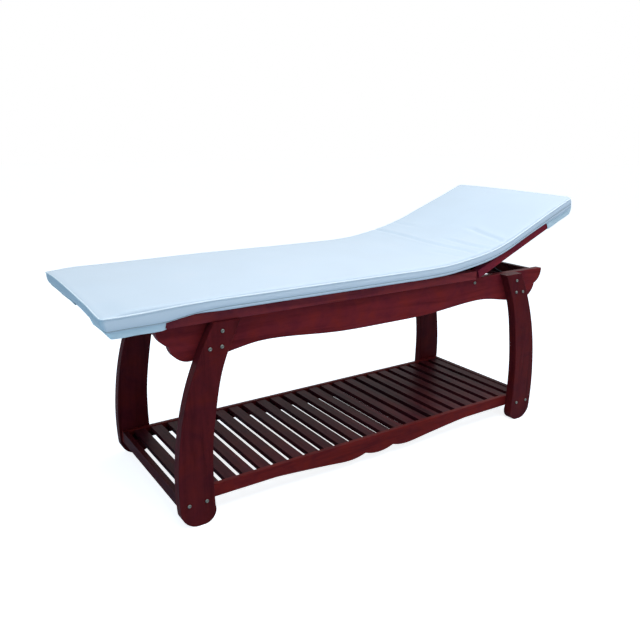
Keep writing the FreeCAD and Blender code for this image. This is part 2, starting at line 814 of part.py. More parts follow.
def make_prop():
    leg = prop_leg()
    foot = prop_foot_rest()
    parts["prop_leg_front"] = leg
    parts["prop_leg_rear"] = to_rear(leg)
    parts["prop_crossbar"] = rod(foot.x, -crossbar_end_y, crossbar_end_y, foot.z, crossbar_radius)
    top = prop_pivot_flat()
    head_y = -prop_leg_outer_y - joint_clearance - plate_thickness
    leg_inner = -prop_leg_outer_y + prop_leg_thickness
    nut_y = leg_inner + joint_clearance
    tip_y = nut_y + pivot_nut_height
    bolt = domed_bolt(top.x, top.z, head_y, tip_y, prop_bolt_radius, pivot_head_radius, pivot_head_height)
    nut = hex_nut(top.x, nut_y, tip_y, top.z, pivot_nut_across, prop_bolt_radius + running_clearance)
    parts["prop_bolts"] = raised(Part.makeCompound([bolt, to_rear(bolt), nut, to_rear(nut)]))


def rack_notch_places():
    rest_x = prop_foot_rest().x
    return [rest_x + (rack_notches_past - i) * rack_notch_pitch for i in range(rack_notch_count)]


def rack_ends():
    first = rack_notch_places()[-1] - crossbar_radius
    return first - rack_end_margin, cross_rail_inner_x - rest_clearance


def rack_screw_places():
    x0, x1 = rack_ends()
    z = rack_top - rack_height * rack_screw_depth_share
    y = -apron_inner_y + rack_thickness
    found = []
    for share in rack_screw_along_shares:
        x = x0 + (x1 - x0) * share
        found.append((rack_screw(x, y, z, 0), rack_screw(x, y, z, running_clearance)))
    return found


def rack_screw(x, y, z, clearance):
    """A screw with a sunk head, through the rack into the apron."""
    shank = rod(x, y - rack_thickness - screw_length - clearance, y, z, screw_radius + clearance)
    head = Part.makeCone(
        screw_radius + clearance,
        screw_head_radius + clearance,
        screw_head_height,
        vec(x, y - screw_head_height, z),
        vec(0, 1, 0),
    )
    return head.fuse(shank).removeSplitter()


def make_racks():
    x0, x1 = rack_ends()
    y0 = -apron_inner_y
    y1 = y0 + rack_thickness
    rack = block(x0, x1, y0, y1, rack_top - rack_height, rack_top)
    notch_radius = crossbar_radius + rest_clearance
    notch_z = rack_top - rack_notch_depth + notch_radius
    for x in rack_notch_places():
        rack = rack.cut(through_hole(x, y0, y1, notch_z, notch_radius))
    screws = []
    for screw, hole in rack_screw_places():
        rack = rack.cut(hole)
        screws += [screw, to_rear(screw)]
    parts["rack_front"] = rack
    parts["rack_rear"] = to_rear(rack)
    parts["rack_screws"] = Part.makeCompound(screws)


# Mattress and its corner pockets
def station(x, z, thickness_share, tilt_share, half, crown):
    """One cross-section: base middle, thickness, turn about Y, half width at the seam, and crown."""
    return x, z, thickness_share * mattress_thickness, tilt_share * backrest_tilt, half, crown


def foot_stations():
    found = []
    last = len(foot_reach_shares) - 1
    for i, share in enumerate(foot_reach_shares):
        half = seam_half_width - end_draw_in * (last - i) / last
        crown = end_crown + (mattress_crown - end_crown) * i / last
        x = deck_foot_x - share * foot_nose
        z = deck_top + soft_clearance + foot_rise_shares[i] * mattress_thickness
        found.append(station(x, z, foot_thickness_shares[i], 0, half, crown))
    return found


def main_stations():
    found = []
    for i, share in enumerate(main_reach_shares):
        x = deck_foot_x + share * (deck_hinge_x - deck_foot_x)
        z = deck_top + soft_clearance + main_rise_shares[i] * mattress_thickness
        shares = (main_thickness_shares[i], main_tilt_shares[i])
        found.append(station(x, z, *shares, seam_half_width, mattress_crown))
    return found


def head_stations():
    """The raised part's cross-sections as it lies flat."""
    found = []
    last = len(head_reach_shares) - 1
    for i, share in enumerate(head_reach_shares):
        at_end = i == last
        half = seam_half_width - end_draw_in if at_end else seam_half_width
        crown = end_crown if at_end else mattress_crown
        x = backrest_x(share * backrest_end)
        z = backrest_z(backrest_top + soft_clearance + head_rise_shares[i] * mattress_thickness)
        found.append(station(x, z, head_thickness_shares[i], head_tilt_shares[i], half, crown))
    return found


def bend_stations():
    """Cross-sections from the fixed part's last one to the raised part's first one."""
    x0, z0, thickness0, tilt0, half, crown = main_stations()[-1]
    x1, z1, thickness1, tilt1, half, crown = head_stations()[0]
    foot = raised(Part.Vertex(x1, 0, z1)).Point
    found = [(x0 + soft_clearance, z0, thickness0, tilt0, half, crown)]
    for i, share in enumerate(bend_reach_shares):
        x = x0 + share * (foot.x - x0)
        z = z0 + bend_rise_shares[i] * (foot.z - z0)
        found.append(station(x, z, bend_thickness_shares[i], bend_tilt_shares[i], half, crown))
    found.append((foot.x - soft_clearance, foot.z, thickness1, tilt1 + backrest_tilt, half, crown))
    return found


def mattress_section(x, z, thickness, tilt, half, crown):
    """Closed outline across the bed: flat base, bulged sides and a crowned top."""
    angle = math.radians(tilt)
    up = vec(-math.sin(angle), 0, math.cos(angle))
    base = vec(x, 0, z)
    bulge = half + mattress_bulge * thickness / mattress_thickness
    left_low = base + vec(0, -half, 0)
    right_low = base + vec(0, half, 0)
    right_mid = base + vec(0, bulge, 0) + up * (thickness / 2)
    left_mid = base + vec(0, -bulge, 0) + up * (thickness / 2)
    right_high = base + vec(0, half, 0) + up * thickness
    left_high = base + vec(0, -half, 0) + up * thickness
    middle = base + up * (thickness + crown)
    edges = [
        line_between(left_low, right_low),
        arc_through([right_low, right_mid, right_high]),
        arc_through([right_high, middle, left_high]),
        arc_through([left_high, left_mid, left_low]),
    ]
    return Part.Wire(edges)


def padded_length(stations):
    return Part.makeLoft([mattress_section(*place) for place in stations], True, True)


def make_mattress():
    parts["mattress_main"] = padded_length(foot_stations() + main_stations())
    parts["mattress_bend"] = padded_length(bend_stations())
    parts["mattress_head"] = raised(padded_length(head_stations()))


def corner_pocket(end_x, inward, bottom, top, floor_limit_x):
    """Cloth round one front corner of a deck frame: side, end and floor."""
    outer_y = -deck_outer_y - rest_clearance - pocket_cloth
    inner_y = -deck_outer_y - rest_clearance
    end_out = end_x - inward * (rest_clearance + pocket_cloth)
    end_in = end_x - inward * rest_clearance
    far_x = end_x + inward * pocket_length
    low = bottom - pocket_drop
    floor_top = bottom - rest_clearance
    cap = -deck_outer_y + pocket_length
    side = block(min(end_out, far_x), max(end_out, far_x), outer_y, inner_y, low, top)
    end = block(min(end_out, end_in), max(end_out, end_in), outer_y, cap, low, top)
    floor = block(min(end_out, floor_limit_x), max(end_out, floor_limit_x), outer_y, cap, low, floor_top)
    return side.fuse([end, floor]).removeSplitter()


def make_pockets():
    foot_limit = -apron_half_length - rest_clearance
    foot = corner_pocket(deck_foot_x, 1, deck_bottom, deck_top, foot_limit)
    head_limit = backrest_x(backrest_end - pocket_length)
    head = corner_pocket(
        backrest_x(backrest_end), -1, backrest_z(backrest_bottom), backrest_z(backrest_top), head_limit
    )
    parts["mattress_pocket_front_foot"] = foot
    parts["mattress_pocket_rear_foot"] = to_rear(foot)
    parts["mattress_pocket_front_head"] = raised(head)
    parts["mattress_pocket_rear_head"] = raised(to_rear(head))


def main():
    make_legs()
    make_aprons()
    make_shelf()
    make_deck()
    make_backrest()
    make_hinge_hardware()
    make_prop()
    make_racks()
    make_mattress()
    make_pockets()
    whole = Part.makeCompound(list(parts.values())).optimalBoundingBox(False)
    to_origin = vec(-(whole.XMin + whole.XMax) / 2, 0, -whole.ZMin)
    os.makedirs("parts", exist_ok=True)
    for name, shape in parts.items():
        placed = shape.copy()
        placed.translate(to_origin)
        placed.exportStep("parts/" + name + ".step")
        print(name, len(placed.Solids), placed.isValid())
    print("shift", to_origin.x, to_origin.z)


main()
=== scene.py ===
import json
from math import cos, hypot, pi, radians, sin

import bmesh
import bpy
import numpy as np
from mathutils import Matrix, Vector


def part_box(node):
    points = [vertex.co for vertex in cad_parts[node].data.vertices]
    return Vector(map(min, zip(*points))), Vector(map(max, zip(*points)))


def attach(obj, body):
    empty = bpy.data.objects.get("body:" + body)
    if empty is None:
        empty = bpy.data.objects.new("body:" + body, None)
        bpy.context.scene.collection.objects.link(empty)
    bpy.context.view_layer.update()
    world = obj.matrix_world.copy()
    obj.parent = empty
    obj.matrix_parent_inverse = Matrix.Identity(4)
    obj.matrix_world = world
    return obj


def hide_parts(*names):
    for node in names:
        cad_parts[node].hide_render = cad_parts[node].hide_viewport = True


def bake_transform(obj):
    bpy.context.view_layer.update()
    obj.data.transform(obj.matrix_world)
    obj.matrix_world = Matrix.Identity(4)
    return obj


bl_info = {
    "name": "Wooden massage bed",
    "version": (1, 0, 0),
    "blender": (4, 5, 0),
    "location": "View3D > Sidebar > Bed",
    "description": "Dresses a wooden massage bed with stained wood, a padded mattress and zinc bolts",
    "category": "Object",
}

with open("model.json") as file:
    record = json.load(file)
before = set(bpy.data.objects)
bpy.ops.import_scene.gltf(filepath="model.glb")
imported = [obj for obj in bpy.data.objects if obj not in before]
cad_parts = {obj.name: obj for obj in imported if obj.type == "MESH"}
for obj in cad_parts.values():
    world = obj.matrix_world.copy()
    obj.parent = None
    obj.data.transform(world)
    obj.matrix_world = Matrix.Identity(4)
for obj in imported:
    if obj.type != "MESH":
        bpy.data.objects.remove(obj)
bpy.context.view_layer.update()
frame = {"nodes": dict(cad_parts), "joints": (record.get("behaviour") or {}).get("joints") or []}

# The hinge places everything else. Lengths in the tables below are in millimetres from the bed's own middle.
HINGE = Vector(next(j["pos_m"] for j in frame["joints"] if j["name"] == "backrest_hinge"))
HINGE_X, HINGE_Z, TILT = 426.0, 603.5, radians(23.4)
BED_X = HINGE.x - HINGE_X / 1000


def outer_face(node):
    """How far a node of the front side reaches out from the bed's middle, in millimetres."""
    return -1000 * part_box(node)[0][1]


# Mattress underside from foot to bend: along, height, tilt in degrees
UNDERSIDE = [
    (-957, 652.4, 0), (-700, 652.4, 0), (-495, 652.4, 0), (32, 652.4, 0), (180, 653.2, 1.5), (265, 657.5, 5.5),
    (345, 667.5, 7.3), (396, 675.0, 9.0), (426, 680.0, 10.8), (466, 688.3, 13.0),
]
# Underside of the lifted part, measured flat from the hinge: reach, height, tilt in degrees
UNDERSIDE_LIFTED = [
    (120, 54.5, -6), (180, 49.8, -1.5), (252, 49.4, 0), (430, 49.4, 0), (520, 49.4, 0), (548, 49.4, 0),
]
HALF_WIDTH = 299.0
CORNER = 16.0
# The top's edge rolls down over this distance. The foot end's own roll and height reach this far in from it, and its
# seams turn into those of the sides over a longer one.
ROLL = 10.0
ROLL_AT_FOOT = 15.0
FOOT_REACH = 60.0
FOOT_TURN = 120.0

# Heights above the underside against the place along the bed: of the upper seam, the lower seam, the lip and the top
SEAM_FRONT = [
    (-957, 27), (-930, 27), (-902, 27.5), (-850, 29), (-797, 32), (-742, 34.5), (-684, 36.5), (-499, 37.3),
    (200, 37.3), (412, 36.5), (600, 36.5), (800, 36.5), (880, 35), (925, 33),
]
SEAM_REAR = [
    (-957, 41), (-850, 43), (-700, 45), (-499, 47), (200, 48), (365, 51), (500, 56), (644, 52), (792, 43), (925, 34),
]
LOWER_FRONT = [
    (-957, -9), (-929, -7.5), (-850, -6), (-784, -4.4), (-735, 3.2), (-685, 9.6), (-626, 12.7), (-499, 13),
    (412, 13), (790, 14), (880, 12), (925, 10),
]
LOWER_REAR = [(-957, 0), (-850, 3), (-743, 9), (-626, 13), (412, 13), (925, 12)]
LIP_FRONT = [
    (-957, -14), (-929, -12.5), (-850, -11), (-790, -9), (-772, -4), (-743, 0.8), (-600, 1.8),
    (412, 1.8), (780, 1.8), (830, -2), (925, -3),
]
LIP_REAR = [(-957, -6), (-850, -5), (-775, -1), (-743, 0.3), (412, 0.5), (780, 0.5), (830, -2), (925, -3)]
TOP_FRONT = [
    (-957, 26), (-930, 36), (-902, 41), (-850, 42.5), (-797, 43.5), (-684, 45.5), (-600, 47), (-495, 47.5),
    (200, 47.5), (600, 47.5), (800, 46), (880, 43), (925, 40),
]
TOP_REAR = [
    (-957, 46), (-930, 52), (-900, 53), (-797, 53), (-438, 57), (-12, 57), (200, 58), (365, 61), (500, 65),
    (644, 61), (792, 53), (880, 50), (925, 47),
]
# The same across the foot end, from front to rear
SEAM_FOOT = [
    (-299, 27), (-275, 28.5), (-250, 30), (-223, 32.5), (-192, 36), (-151, 38), (-107, 39.5), (-31, 42.5),
    (51, 45.5), (155, 47), (226, 46), (299, 41),
]
LIP_FOOT = [(-299, -15), (-244, -16), (-179, -11), (-70, -3), (39, -3), (64, -5), (214, -5.5), (299, -6)]
SEAM_ABOVE_LIP = 8.0
TOP_ABOVE_FOOT_SEAM = 5.5

# Where the seams run: the edge that each follows, how far out from it and how far above it
STITCH_SEAM = ("upper", 2.4, -6.0)
PIPING_SEAM = ("upper", 1.5, -0.6)
LOWER_SEAM = ("lower", 0.6, 0.0)

# What every colour property says besides its name
COLOUR = {"subtype": "COLOR", "size": 3, "min": 0, "max": 1}


class MattressSettings(bpy.types.PropertyGroup):
    cover: bpy.props.FloatVectorProperty(
        name="Cover colour", description="Colour of the coated cover", default=(0.583, 0.682, 0.785), **COLOUR,
    )
    thread: bpy.props.FloatVectorProperty(
        name="Thread colour", description="Colour of the stitches", default=(0.56, 0.68, 0.79), **COLOUR,
    )
    seam: bpy.props.FloatVectorProperty(
        name="Lower seam colour", description="Colour of the lower seam's cord", default=(0.26, 0.34, 0.36), **COLOUR,
    )
    crown: bpy.props.FloatProperty(
        name="Crown", description="Rise of the top's middle over its edges", unit="LENGTH", default=0.004,
    )
    crease: bpy.props.FloatProperty(
        name="Crease depth", description="Depth of the creases at the bend", unit="LENGTH", default=0.0048,
    )
    stitch_pitch: bpy.props.FloatProperty(
        name="Stitch pitch", description="Distance from one stitch to the next", unit="LENGTH", default=0.0062,
    )
    stitch_length: bpy.props.FloatProperty(
        name="Stitch length", description="Length of a stitch", unit="LENGTH", default=0.0042,
    )
    thread_radius: bpy.props.FloatProperty(
        name="Thread radius", description="Half the thread's thickness", unit="LENGTH", default=0.00055,
    )
    seam_radius: bpy.props.FloatProperty(
        name="Seam cord radius", description="Half the lower seam cord's thickness", unit="LENGTH", default=0.0009,
    )
    piping_radius: bpy.props.FloatProperty(
        name="Piping radius", description="Half the upper seam's piping", unit="LENGTH", default=0.0025,
    )


class WoodSettings(bpy.types.PropertyGroup):
    deep: bpy.props.FloatVectorProperty(
        name="Deep stain", description="Stain in the dark grain", default=(0.105, 0.0090, 0.0125), **COLOUR,
    )
    warm: bpy.props.FloatVectorProperty(
        name="Warm stain", description="Stain between the grain", default=(0.188, 0.0190, 0.0240), **COLOUR,
    )
    dusk: bpy.props.FloatVectorProperty(
        name="Cool stain", description="Purple stain of the slats", default=(0.130, 0.020, 0.028), **COLOUR,
    )
    lacquer: bpy.props.FloatProperty(
        name="Lacquer roughness", description="Roughness of the satin lacquer", min=0, max=1, default=0.36,
    )


class HardwareSettings(bpy.types.PropertyGroup):
    head_radius: bpy.props.FloatProperty(
        name="Bolt head radius", description="Half the width of a leg bolt's head", unit="LENGTH", default=0.0059,
    )
    head_height: bpy.props.FloatProperty(
        name="Bolt head height", description="Height of a leg bolt's domed head", unit="LENGTH", default=0.0036,
    )
    socket: bpy.props.FloatProperty(
        name="Socket width", description="Width across the hexagon socket's flats", unit="LENGTH", default=0.0056,
    )
    zinc: bpy.props.FloatVectorProperty(
        name="Zinc colour", description="Colour of the zinc plating", default=(0.20, 0.22, 0.205), **COLOUR,
    )


class StageSettings(bpy.types.PropertyGroup):
    floor_size: bpy.props.FloatProperty(
        name="Floor size", description="Width of the floor", unit="LENGTH", default=40.0,
    )
    overhead: bpy.props.FloatProperty(name="Overhead lamp", description="Power in watts", min=0, default=92.0)
    front: bpy.props.FloatProperty(name="Front lamp", description="Power in watts", min=0, default=12.0)
    side: bpy.props.FloatProperty(name="Side lamp", description="Power in watts", min=0, default=14.0)
    sky: bpy.props.FloatProperty(name="Sky", description="Strength of the room's even light", min=0, default=0.28)


def settings(context):
    scene = context.scene
    return scene.bed_mattress, scene.bed_wood, scene.bed_hardware, scene.bed_stage


# Nodes and materials
def wire(tree, source, target):
    tree.links.new(source, target)


def set_inputs(tree, node, inputs):
    """Sets a node's inputs, and wires those whose value is another node's output."""
    for name, value in inputs.items():
        if isinstance(value, bpy.types.NodeSocket):
            wire(tree, value, node.inputs[name])
        else:
            node.inputs[name].default_value = value


def add_node(tree, kind, inputs=None, **values):
    node = tree.nodes.new(kind)
    for name, value in values.items():
        setattr(node, name, value)
    set_inputs(tree, node, inputs or {})
    return node


def new_material(name):
    material = bpy.data.materials.new(name)
    material.use_nodes = True
    tree = material.node_tree
    return material, tree, tree.nodes["Principled BSDF"]


def object_place(tree):
    return add_node(tree, "ShaderNodeTexCoord").outputs["Object"]


def ramp(tree, source, stops):
    """A colour for each value of the source, from stops of (value, colour)."""
    node = add_node(tree, "ShaderNodeValToRGB", {"Fac": source})
    elements = node.color_ramp.elements
    while len(elements) < len(stops):
        elements.new(0.5)
    for element, (place, colour) in zip(elements, stops):
        element.position = place
        element.color = (*colour, 1)
    return node.outputs["Color"]


def noise(tree, vector, scale, detail, roughness=0.5, distortion=0.0):
    return add_node(tree, "ShaderNodeTexNoise", {
        "Vector": vector, "Scale": scale, "Detail": detail, "Roughness": roughness, "Distortion": distortion,
    }).outputs["Fac"]


def mapped(tree, source, scale, location=(0, 0, 0)):
    inputs = {"Vector": source, "Scale": scale, "Location": location}
    return add_node(tree, "ShaderNodeMapping", inputs).outputs["Vector"]


def multiplied(tree, share, colour, tone):
    """A colour multiplied by a tone, by some share."""
    inputs = {"Factor": share, 6: colour, 7: tone}
    return add_node(tree, "ShaderNodeMix", inputs, data_type="RGBA", blend_type="MULTIPLY").outputs[2]


def bumped(tree, height, strength, distance, normal=None):
    inputs = {"Strength": strength, "Distance": distance, "Height": height}
    if normal is not None:
        inputs["Normal"] = normal
    return add_node(tree, "ShaderNodeBump", inputs).outputs["Normal"]


def vary_roughness(tree, shader, source, low, high, start=0.0, end=1.0):
    """Roughness that goes from low to high as the source goes from start to end."""
    inputs = {"Value": source, "From Min": start, "From Max": end, "To Min": low, "To Max": high}
    gloss = add_node(tree, "ShaderNodeMapRange", inputs)
    wire(tree, gloss.outputs["Result"], shader.inputs["Roughness"])


def tinted(colour, *factors):
    """A colour with a factor on each of its channels."""
    return tuple(channel * factor for channel, factor in zip(colour, factors))


def scaled(colour, factor):
    return tinted(colour, factor, factor, factor)


# How much finer the figure and the pores of the wood are across the grain than along it
FIGURE_FINER = 11.0
PORES_FINER = 26.0


def along_grain(tree, place, along, finer, shift):
    return mapped(tree, place, tuple(1.0 if axis == along else finer for axis in "XYZ"), shift)


def stained_wood(name, along, deep, warm, lacquer, shift=(0, 0, 0), steps=0.0):
    """Stained, lacquered wood whose grain runs along one axis. With steps, each slat gets its own tone."""
    material, tree, shader = new_material(name)
    place = object_place(tree)
    figure = noise(tree, along_grain(tree, place, along, FIGURE_FINER, shift), 2.6, 7, 0.62, 0.9)
    colour = ramp(tree, figure, [
        (0.30, deep), (0.48, scaled(warm, 0.85)), (0.66, warm), (0.86, scaled(warm, 1.15)),
    ])
    patches = noise(tree, mapped(tree, place, (1, 1, 1), shift), 16.0, 5, 0.6, 0.4)
    patch_tone = ramp(tree, patches, [
        (0.32, (0.76, 0.72, 0.98)), (0.50, (0.98, 0.93, 0.96)), (0.70, (1.16, 1.02, 0.74)),
    ])
    colour = multiplied(tree, 0.9, colour, patch_tone)
    pores = noise(tree, along_grain(tree, place, along, PORES_FINER, shift), 11.0, 5, 0.7, 0.2)
    pore_tone = ramp(tree, pores, [(0.30, (0.45, 0.42, 0.42)), (0.47, (1, 1, 1))])
    colour = multiplied(tree, 0.32, colour, pore_tone)
    if steps:
        along_bed = add_node(tree, "ShaderNodeSeparateXYZ", {"Vector": place}).outputs["X"]
        count = add_node(tree, "ShaderNodeMath", {0: along_bed, 1: steps}, operation="DIVIDE").outputs[0]
        whole = add_node(tree, "ShaderNodeMath", {0: count}, operation="FLOOR").outputs[0]
        chance = add_node(tree, "ShaderNodeTexWhiteNoise", {"W": whole}, noise_dimensions="1D").outputs["Value"]
        tone = ramp(tree, chance, [(0.0, (0.72, 0.78, 0.80)), (1.0, (1.22, 1.10, 1.12))])
        colour = multiplied(tree, 1.0, colour, tone)
    vary_roughness(tree, shader, pores, lacquer + 0.12, lacquer - 0.04, 0.3, 0.7)
    normal = bumped(tree, figure, 0.12, 0.0010, bumped(tree, pores, 0.18, 0.0005))
    set_inputs(tree, shader, {"Base Color": colour, "Specular IOR Level": 0.04, "Normal": normal})
    return material


def plywood(name, deep, warm):
    """The inner face of a panel: a broad, dull grain under one thin coat."""
    material, tree, shader = new_material(name)
    figure = noise(tree, mapped(tree, object_place(tree), (1.5, 14, 14)), 3.0, 6, 0.6, 1.4)
    colour = ramp(tree, figure, [(0.3, scaled(deep, 2.0)), (0.55, scaled(warm, 1.1)), (0.8, scaled(warm, 1.8))])
    normal = bumped(tree, figure, 0.25, 0.0006)
    set_inputs(tree, shader, {"Base Color": colour, "Roughness": 0.62, "Normal": normal})
    return material


def coated_cover(name, colour, fabric_map):
    """Pale coated upholstery: a pebbled grain, faint clouding and a soft sheen."""
    material, tree, shader = new_material(name)
    place = add_node(tree, "ShaderNodeUVMap", uv_map=fabric_map).outputs["UV"]
    clouds = noise(tree, mapped(tree, place, (1, 1, 1)), 4.5, 3, 0.5, 0.3)
    tone = ramp(tree, clouds, [(0.35, scaled(colour, 0.975)), (0.55, colour), (0.75, tinted(colour, 1.03, 1.01, 1))])
    pebbles = {"Vector": place, "Scale": 620, "Smoothness": 0.7}
    cells = add_node(tree, "ShaderNodeTexVoronoi", pebbles, feature="SMOOTH_F1").outputs["Distance"]
    normal = bumped(tree, noise(tree, place, 1400, 2), 0.12, 0.0002, bumped(tree, cells, 0.22, 0.0003))
    vary_roughness(tree, shader, clouds, 0.40, 0.56)
    set_inputs(tree, shader, {
        "Base Color": tone, "Normal": normal, "Specular IOR Level": 0.35, "Sheen Weight": 0.12,
        "Sheen Roughness": 0.5,
    })
    return material


def plain_thread(name, colour):
    material, tree, shader = new_material(name)
    twist = noise(tree, object_place(tree), 900, 3, 0.6)
    tone = ramp(tree, twist, [(0.3, scaled(colour, 0.8)), (0.7, scaled(colour, 1.12))])
    normal = bumped(tree, twist, 0.4, 0.0002)
    set_inputs(tree, shader, {"Base Color": tone, "Roughness": 0.7, "Normal": normal})
    return material


def worn_metal(name, colour, roughness, metallic=1.0):
    material, tree, shader = new_material(name)
    cloud = noise(tree, object_place(tree), 180, 5, 0.6, 0.3)
    tone = ramp(tree, cloud, [(0.3, scaled(colour, 0.72)), (0.6, colour), (0.85, scaled(colour, 1.18))])
    vary_roughness(tree, shader, cloud, roughness - 0.08, roughness + 0.14)
    normal = bumped(tree, cloud, 0.15, 0.0002)
    set_inputs(tree, shader, {"Base Color": tone, "Metallic": metallic, "Normal": normal})
    return material


def finish_nodes(names, material):
    for name in names:
        slots = frame["nodes"][name].data.materials
        if not slots:
            slots.append(material)
        for i in range(len(slots)):
            slots[i] = material


# Geometry
def smooth(table, x):
    """A soft curve through a table of (x, value) points, held level past its ends."""
    xs, values = np.array(table, float).T
    slopes = np.gradient(values, xs)
    x = np.clip(x, xs[0], xs[-1])
    i = np.clip(np.searchsorted(xs, x) - 1, 0, len(xs) - 2)
    width = xs[i + 1] - xs[i]
    t = (x - xs[i]) / width
    a = (1 + 2 * t) * (1 - t) ** 2
    b = t * (1 - t) ** 2 * width
    c = t * t * (3 - 2 * t)
    d = t * t * (t - 1) * width
    return a * values[i] + b * slopes[i] + c * values[i + 1] + d * slopes[i + 1]


def eased(t):
    """A soft step from 0 to 1."""
    t = np.clip(t, 0, 1)
    return t * t * (3 - 2 * t)


def lifted_place(reach, height):
    """A place measured flat from the hinge, turned up with the backrest."""
    x = HINGE_X + reach * cos(TILT) - height * sin(TILT)
    return x, HINGE_Z + reach * sin(TILT) + height * cos(TILT)


def underside():
    """Tables of place along, height and tilt against the length run along the underside."""
    points = [(x, z, radians(t)) for x, z, t in UNDERSIDE]
    for reach, height, tilt in UNDERSIDE_LIFTED:
        points.append((*lifted_place(reach, height), TILT + radians(tilt)))
    run = [0.0]
    for (x0, z0, _), (x1, z1, _) in zip(points, points[1:]):
        run.append(run[-1] + hypot(x1 - x0, z1 - z0))
    columns = list(zip(*points))
    return [list(zip(run, column)) for column in columns], run[-1]


RUN, LENGTH = underside()


NEAR_EDGE = [0, 0.5, 1.4, 2.8, 4.8, 7.4, 10.6, 14.6, 20, 27, 36]


def spaced(length, step, fine_from=0.0, fine_to=0.0, fine_step=1.0):
    """Places from 0 to length, close together at both ends and in one fine stretch."""
    places = list(NEAR_EDGE)
    while places[-1] < length - NEAR_EDGE[-1] - step:
        inside = fine_from <= places[-1] < fine_to
        places.append(places[-1] + (fine_step if inside else step))
    places += [length - p for p in reversed(NEAR_EDGE) if length - p > places[-1] + 2]
    return np.array(places)


def past_corners(run, across):
    """How far plan points lie past the centres of the rounded corners, along and across."""
    return np.abs(run - LENGTH / 2) - (LENGTH / 2 - CORNER), np.abs(across) - (HALF_WIDTH - CORNER)


def rounded_plan(run, across):
    """Moves plan points so that the corner squares become quarter circles."""
    half = LENGTH / 2
    dx, dy = past_corners(run, across)
    inside = (dx > 0) & (dy > 0)
    u = np.where(inside, dx / CORNER, 0)
    v = np.where(inside, dy / CORNER, 0)
    new_u = u * np.sqrt(1 - v * v / 2)
    new_v = v * np.sqrt(1 - u * u / 2)
    run = np.where(inside, half + np.sign(run - half) * (half - CORNER + new_u * CORNER), run)
    across = np.where(inside, np.sign(across) * (HALF_WIDTH - CORNER + new_v * CORNER), across)
    return run, across


def edge_distance(run, across):
    dx, dy = past_corners(run, across)
    outside = np.hypot(np.maximum(dx, 0), np.maximum(dy, 0))
    return CORNER - outside - np.minimum(np.maximum(dx, dy), 0)


def edge_height(run, across, front, rear, foot):
    """The height of a seam at the nearest edge, from the tables of the two sides and the foot end."""
    along = smooth(RUN[0], run)
    side = np.where(across < 0, smooth(front, along), smooth(rear, along))
    near_side = HALF_WIDTH - np.abs(across)
    weight = near_side**2 / (run**2 + near_side**2 + 1e-6) * eased(1 - run / FOOT_TURN)
    return side * (1 - weight) + smooth(foot, across) * weight


def upper_seam(run, across):
    return edge_height(run, across, SEAM_FRONT, SEAM_REAR, SEAM_FOOT)


def lip_height(run, across):
    return edge_height(run, across, LIP_FRONT, LIP_REAR, LIP_FOOT)


def lower_seam(run, across):
    foot = [(y, h + SEAM_ABOVE_LIP) for y, h in LIP_FOOT]
    return edge_height(run, across, LOWER_FRONT, LOWER_REAR, foot)


# Creases pressed into the top at the bend: points of (along, across), depth share and half width
CREASES = [
    ([(395, 282), (394, 169), (390, 79), (381, -48), (383, -124), (392, -197), (398, -290)], 0.85, 10),
    ([(454, -100), (451, -190), (458, -257), (468, -290)], 0.9, 9),
    ([(575, -105), (559, -184), (549, -246), (541, -290)], 0.9, 10),
    ([(502, 271), (500, 140)], 0.35, 12),
    ([(312, -165), (340, -284)], 0.35, 12),
]
# A crease runs on this far past its last points, and fades out over this length
CREASE_RUN_ON = 40.0
CREASE_FADE = 60.0


def crease_drop(along, across):
    """How deep the creases are at each place, with a soft shoulder on both sides of each."""
    drop = np.zeros_like(along)
    for points, depth, half_width in CREASES:
        ys = sorted((y, x) for x, y in points)
        centre = smooth(ys, across)
        low, high = ys[0][0] - CREASE_RUN_ON, ys[-1][0] + CREASE_RUN_ON
        fade = np.clip((across - low) / CREASE_FADE, 0, 1) * np.clip((high - across) / CREASE_FADE, 0, 1)
        t = (along - centre) / half_width
        valley = np.exp(-t * t)
        shoulder = 0.42 * np.exp(-((t - 1.9) ** 2) / 1.3) + 0.30 * np.exp(-((t + 1.9) ** 2) / 1.5)
        drop += depth * fade * (valley - shoulder)
    return drop


def top_height(run, across, crown, crease):
    along = smooth(RUN[0], run)
    to_rear = (across / HALF_WIDTH + 1) / 2
    flat = smooth(TOP_FRONT, along) * (1 - to_rear) + smooth(TOP_REAR, along) * to_rear
    share = np.clip(1 - (across / HALF_WIDTH) ** 2, 0, 1)
    sway = 0.9 * np.sin(run / 83 + across / 140) * np.sin(across / 97 + 1.3) + 0.5 * np.sin(run / 41 - across / 60)
    high = flat + (crown + sway) * share - crease * crease_drop(along, across)
    at_foot = np.exp(-((run / FOOT_REACH) ** 2))
    return high * (1 - at_foot) + (smooth(SEAM_FOOT, across) + TOP_ABOVE_FOOT_SEAM) * at_foot


def in_space(run, across, height):
    """Mattress coordinates to places in the shared frame, in metres."""
    x, z, tilt = (smooth(table, run) for table in RUN)
    x, z = x - height * np.sin(tilt), z + height * np.cos(tilt)
    return np.stack([x / 1000 + BED_X, across / 1000, z / 1000], axis=-1)


def outline_ring(rows, columns):
    """Grid places of the plan's edge, once round."""
    ring = [(i, 0) for i in range(rows)]
    ring += [(rows - 1, j) for j in range(1, columns)]
    ring += [(i, columns - 1) for i in range(rows - 2, -1, -1)]
    ring += [(0, j) for j in range(columns - 2, 0, -1)]
    return ring


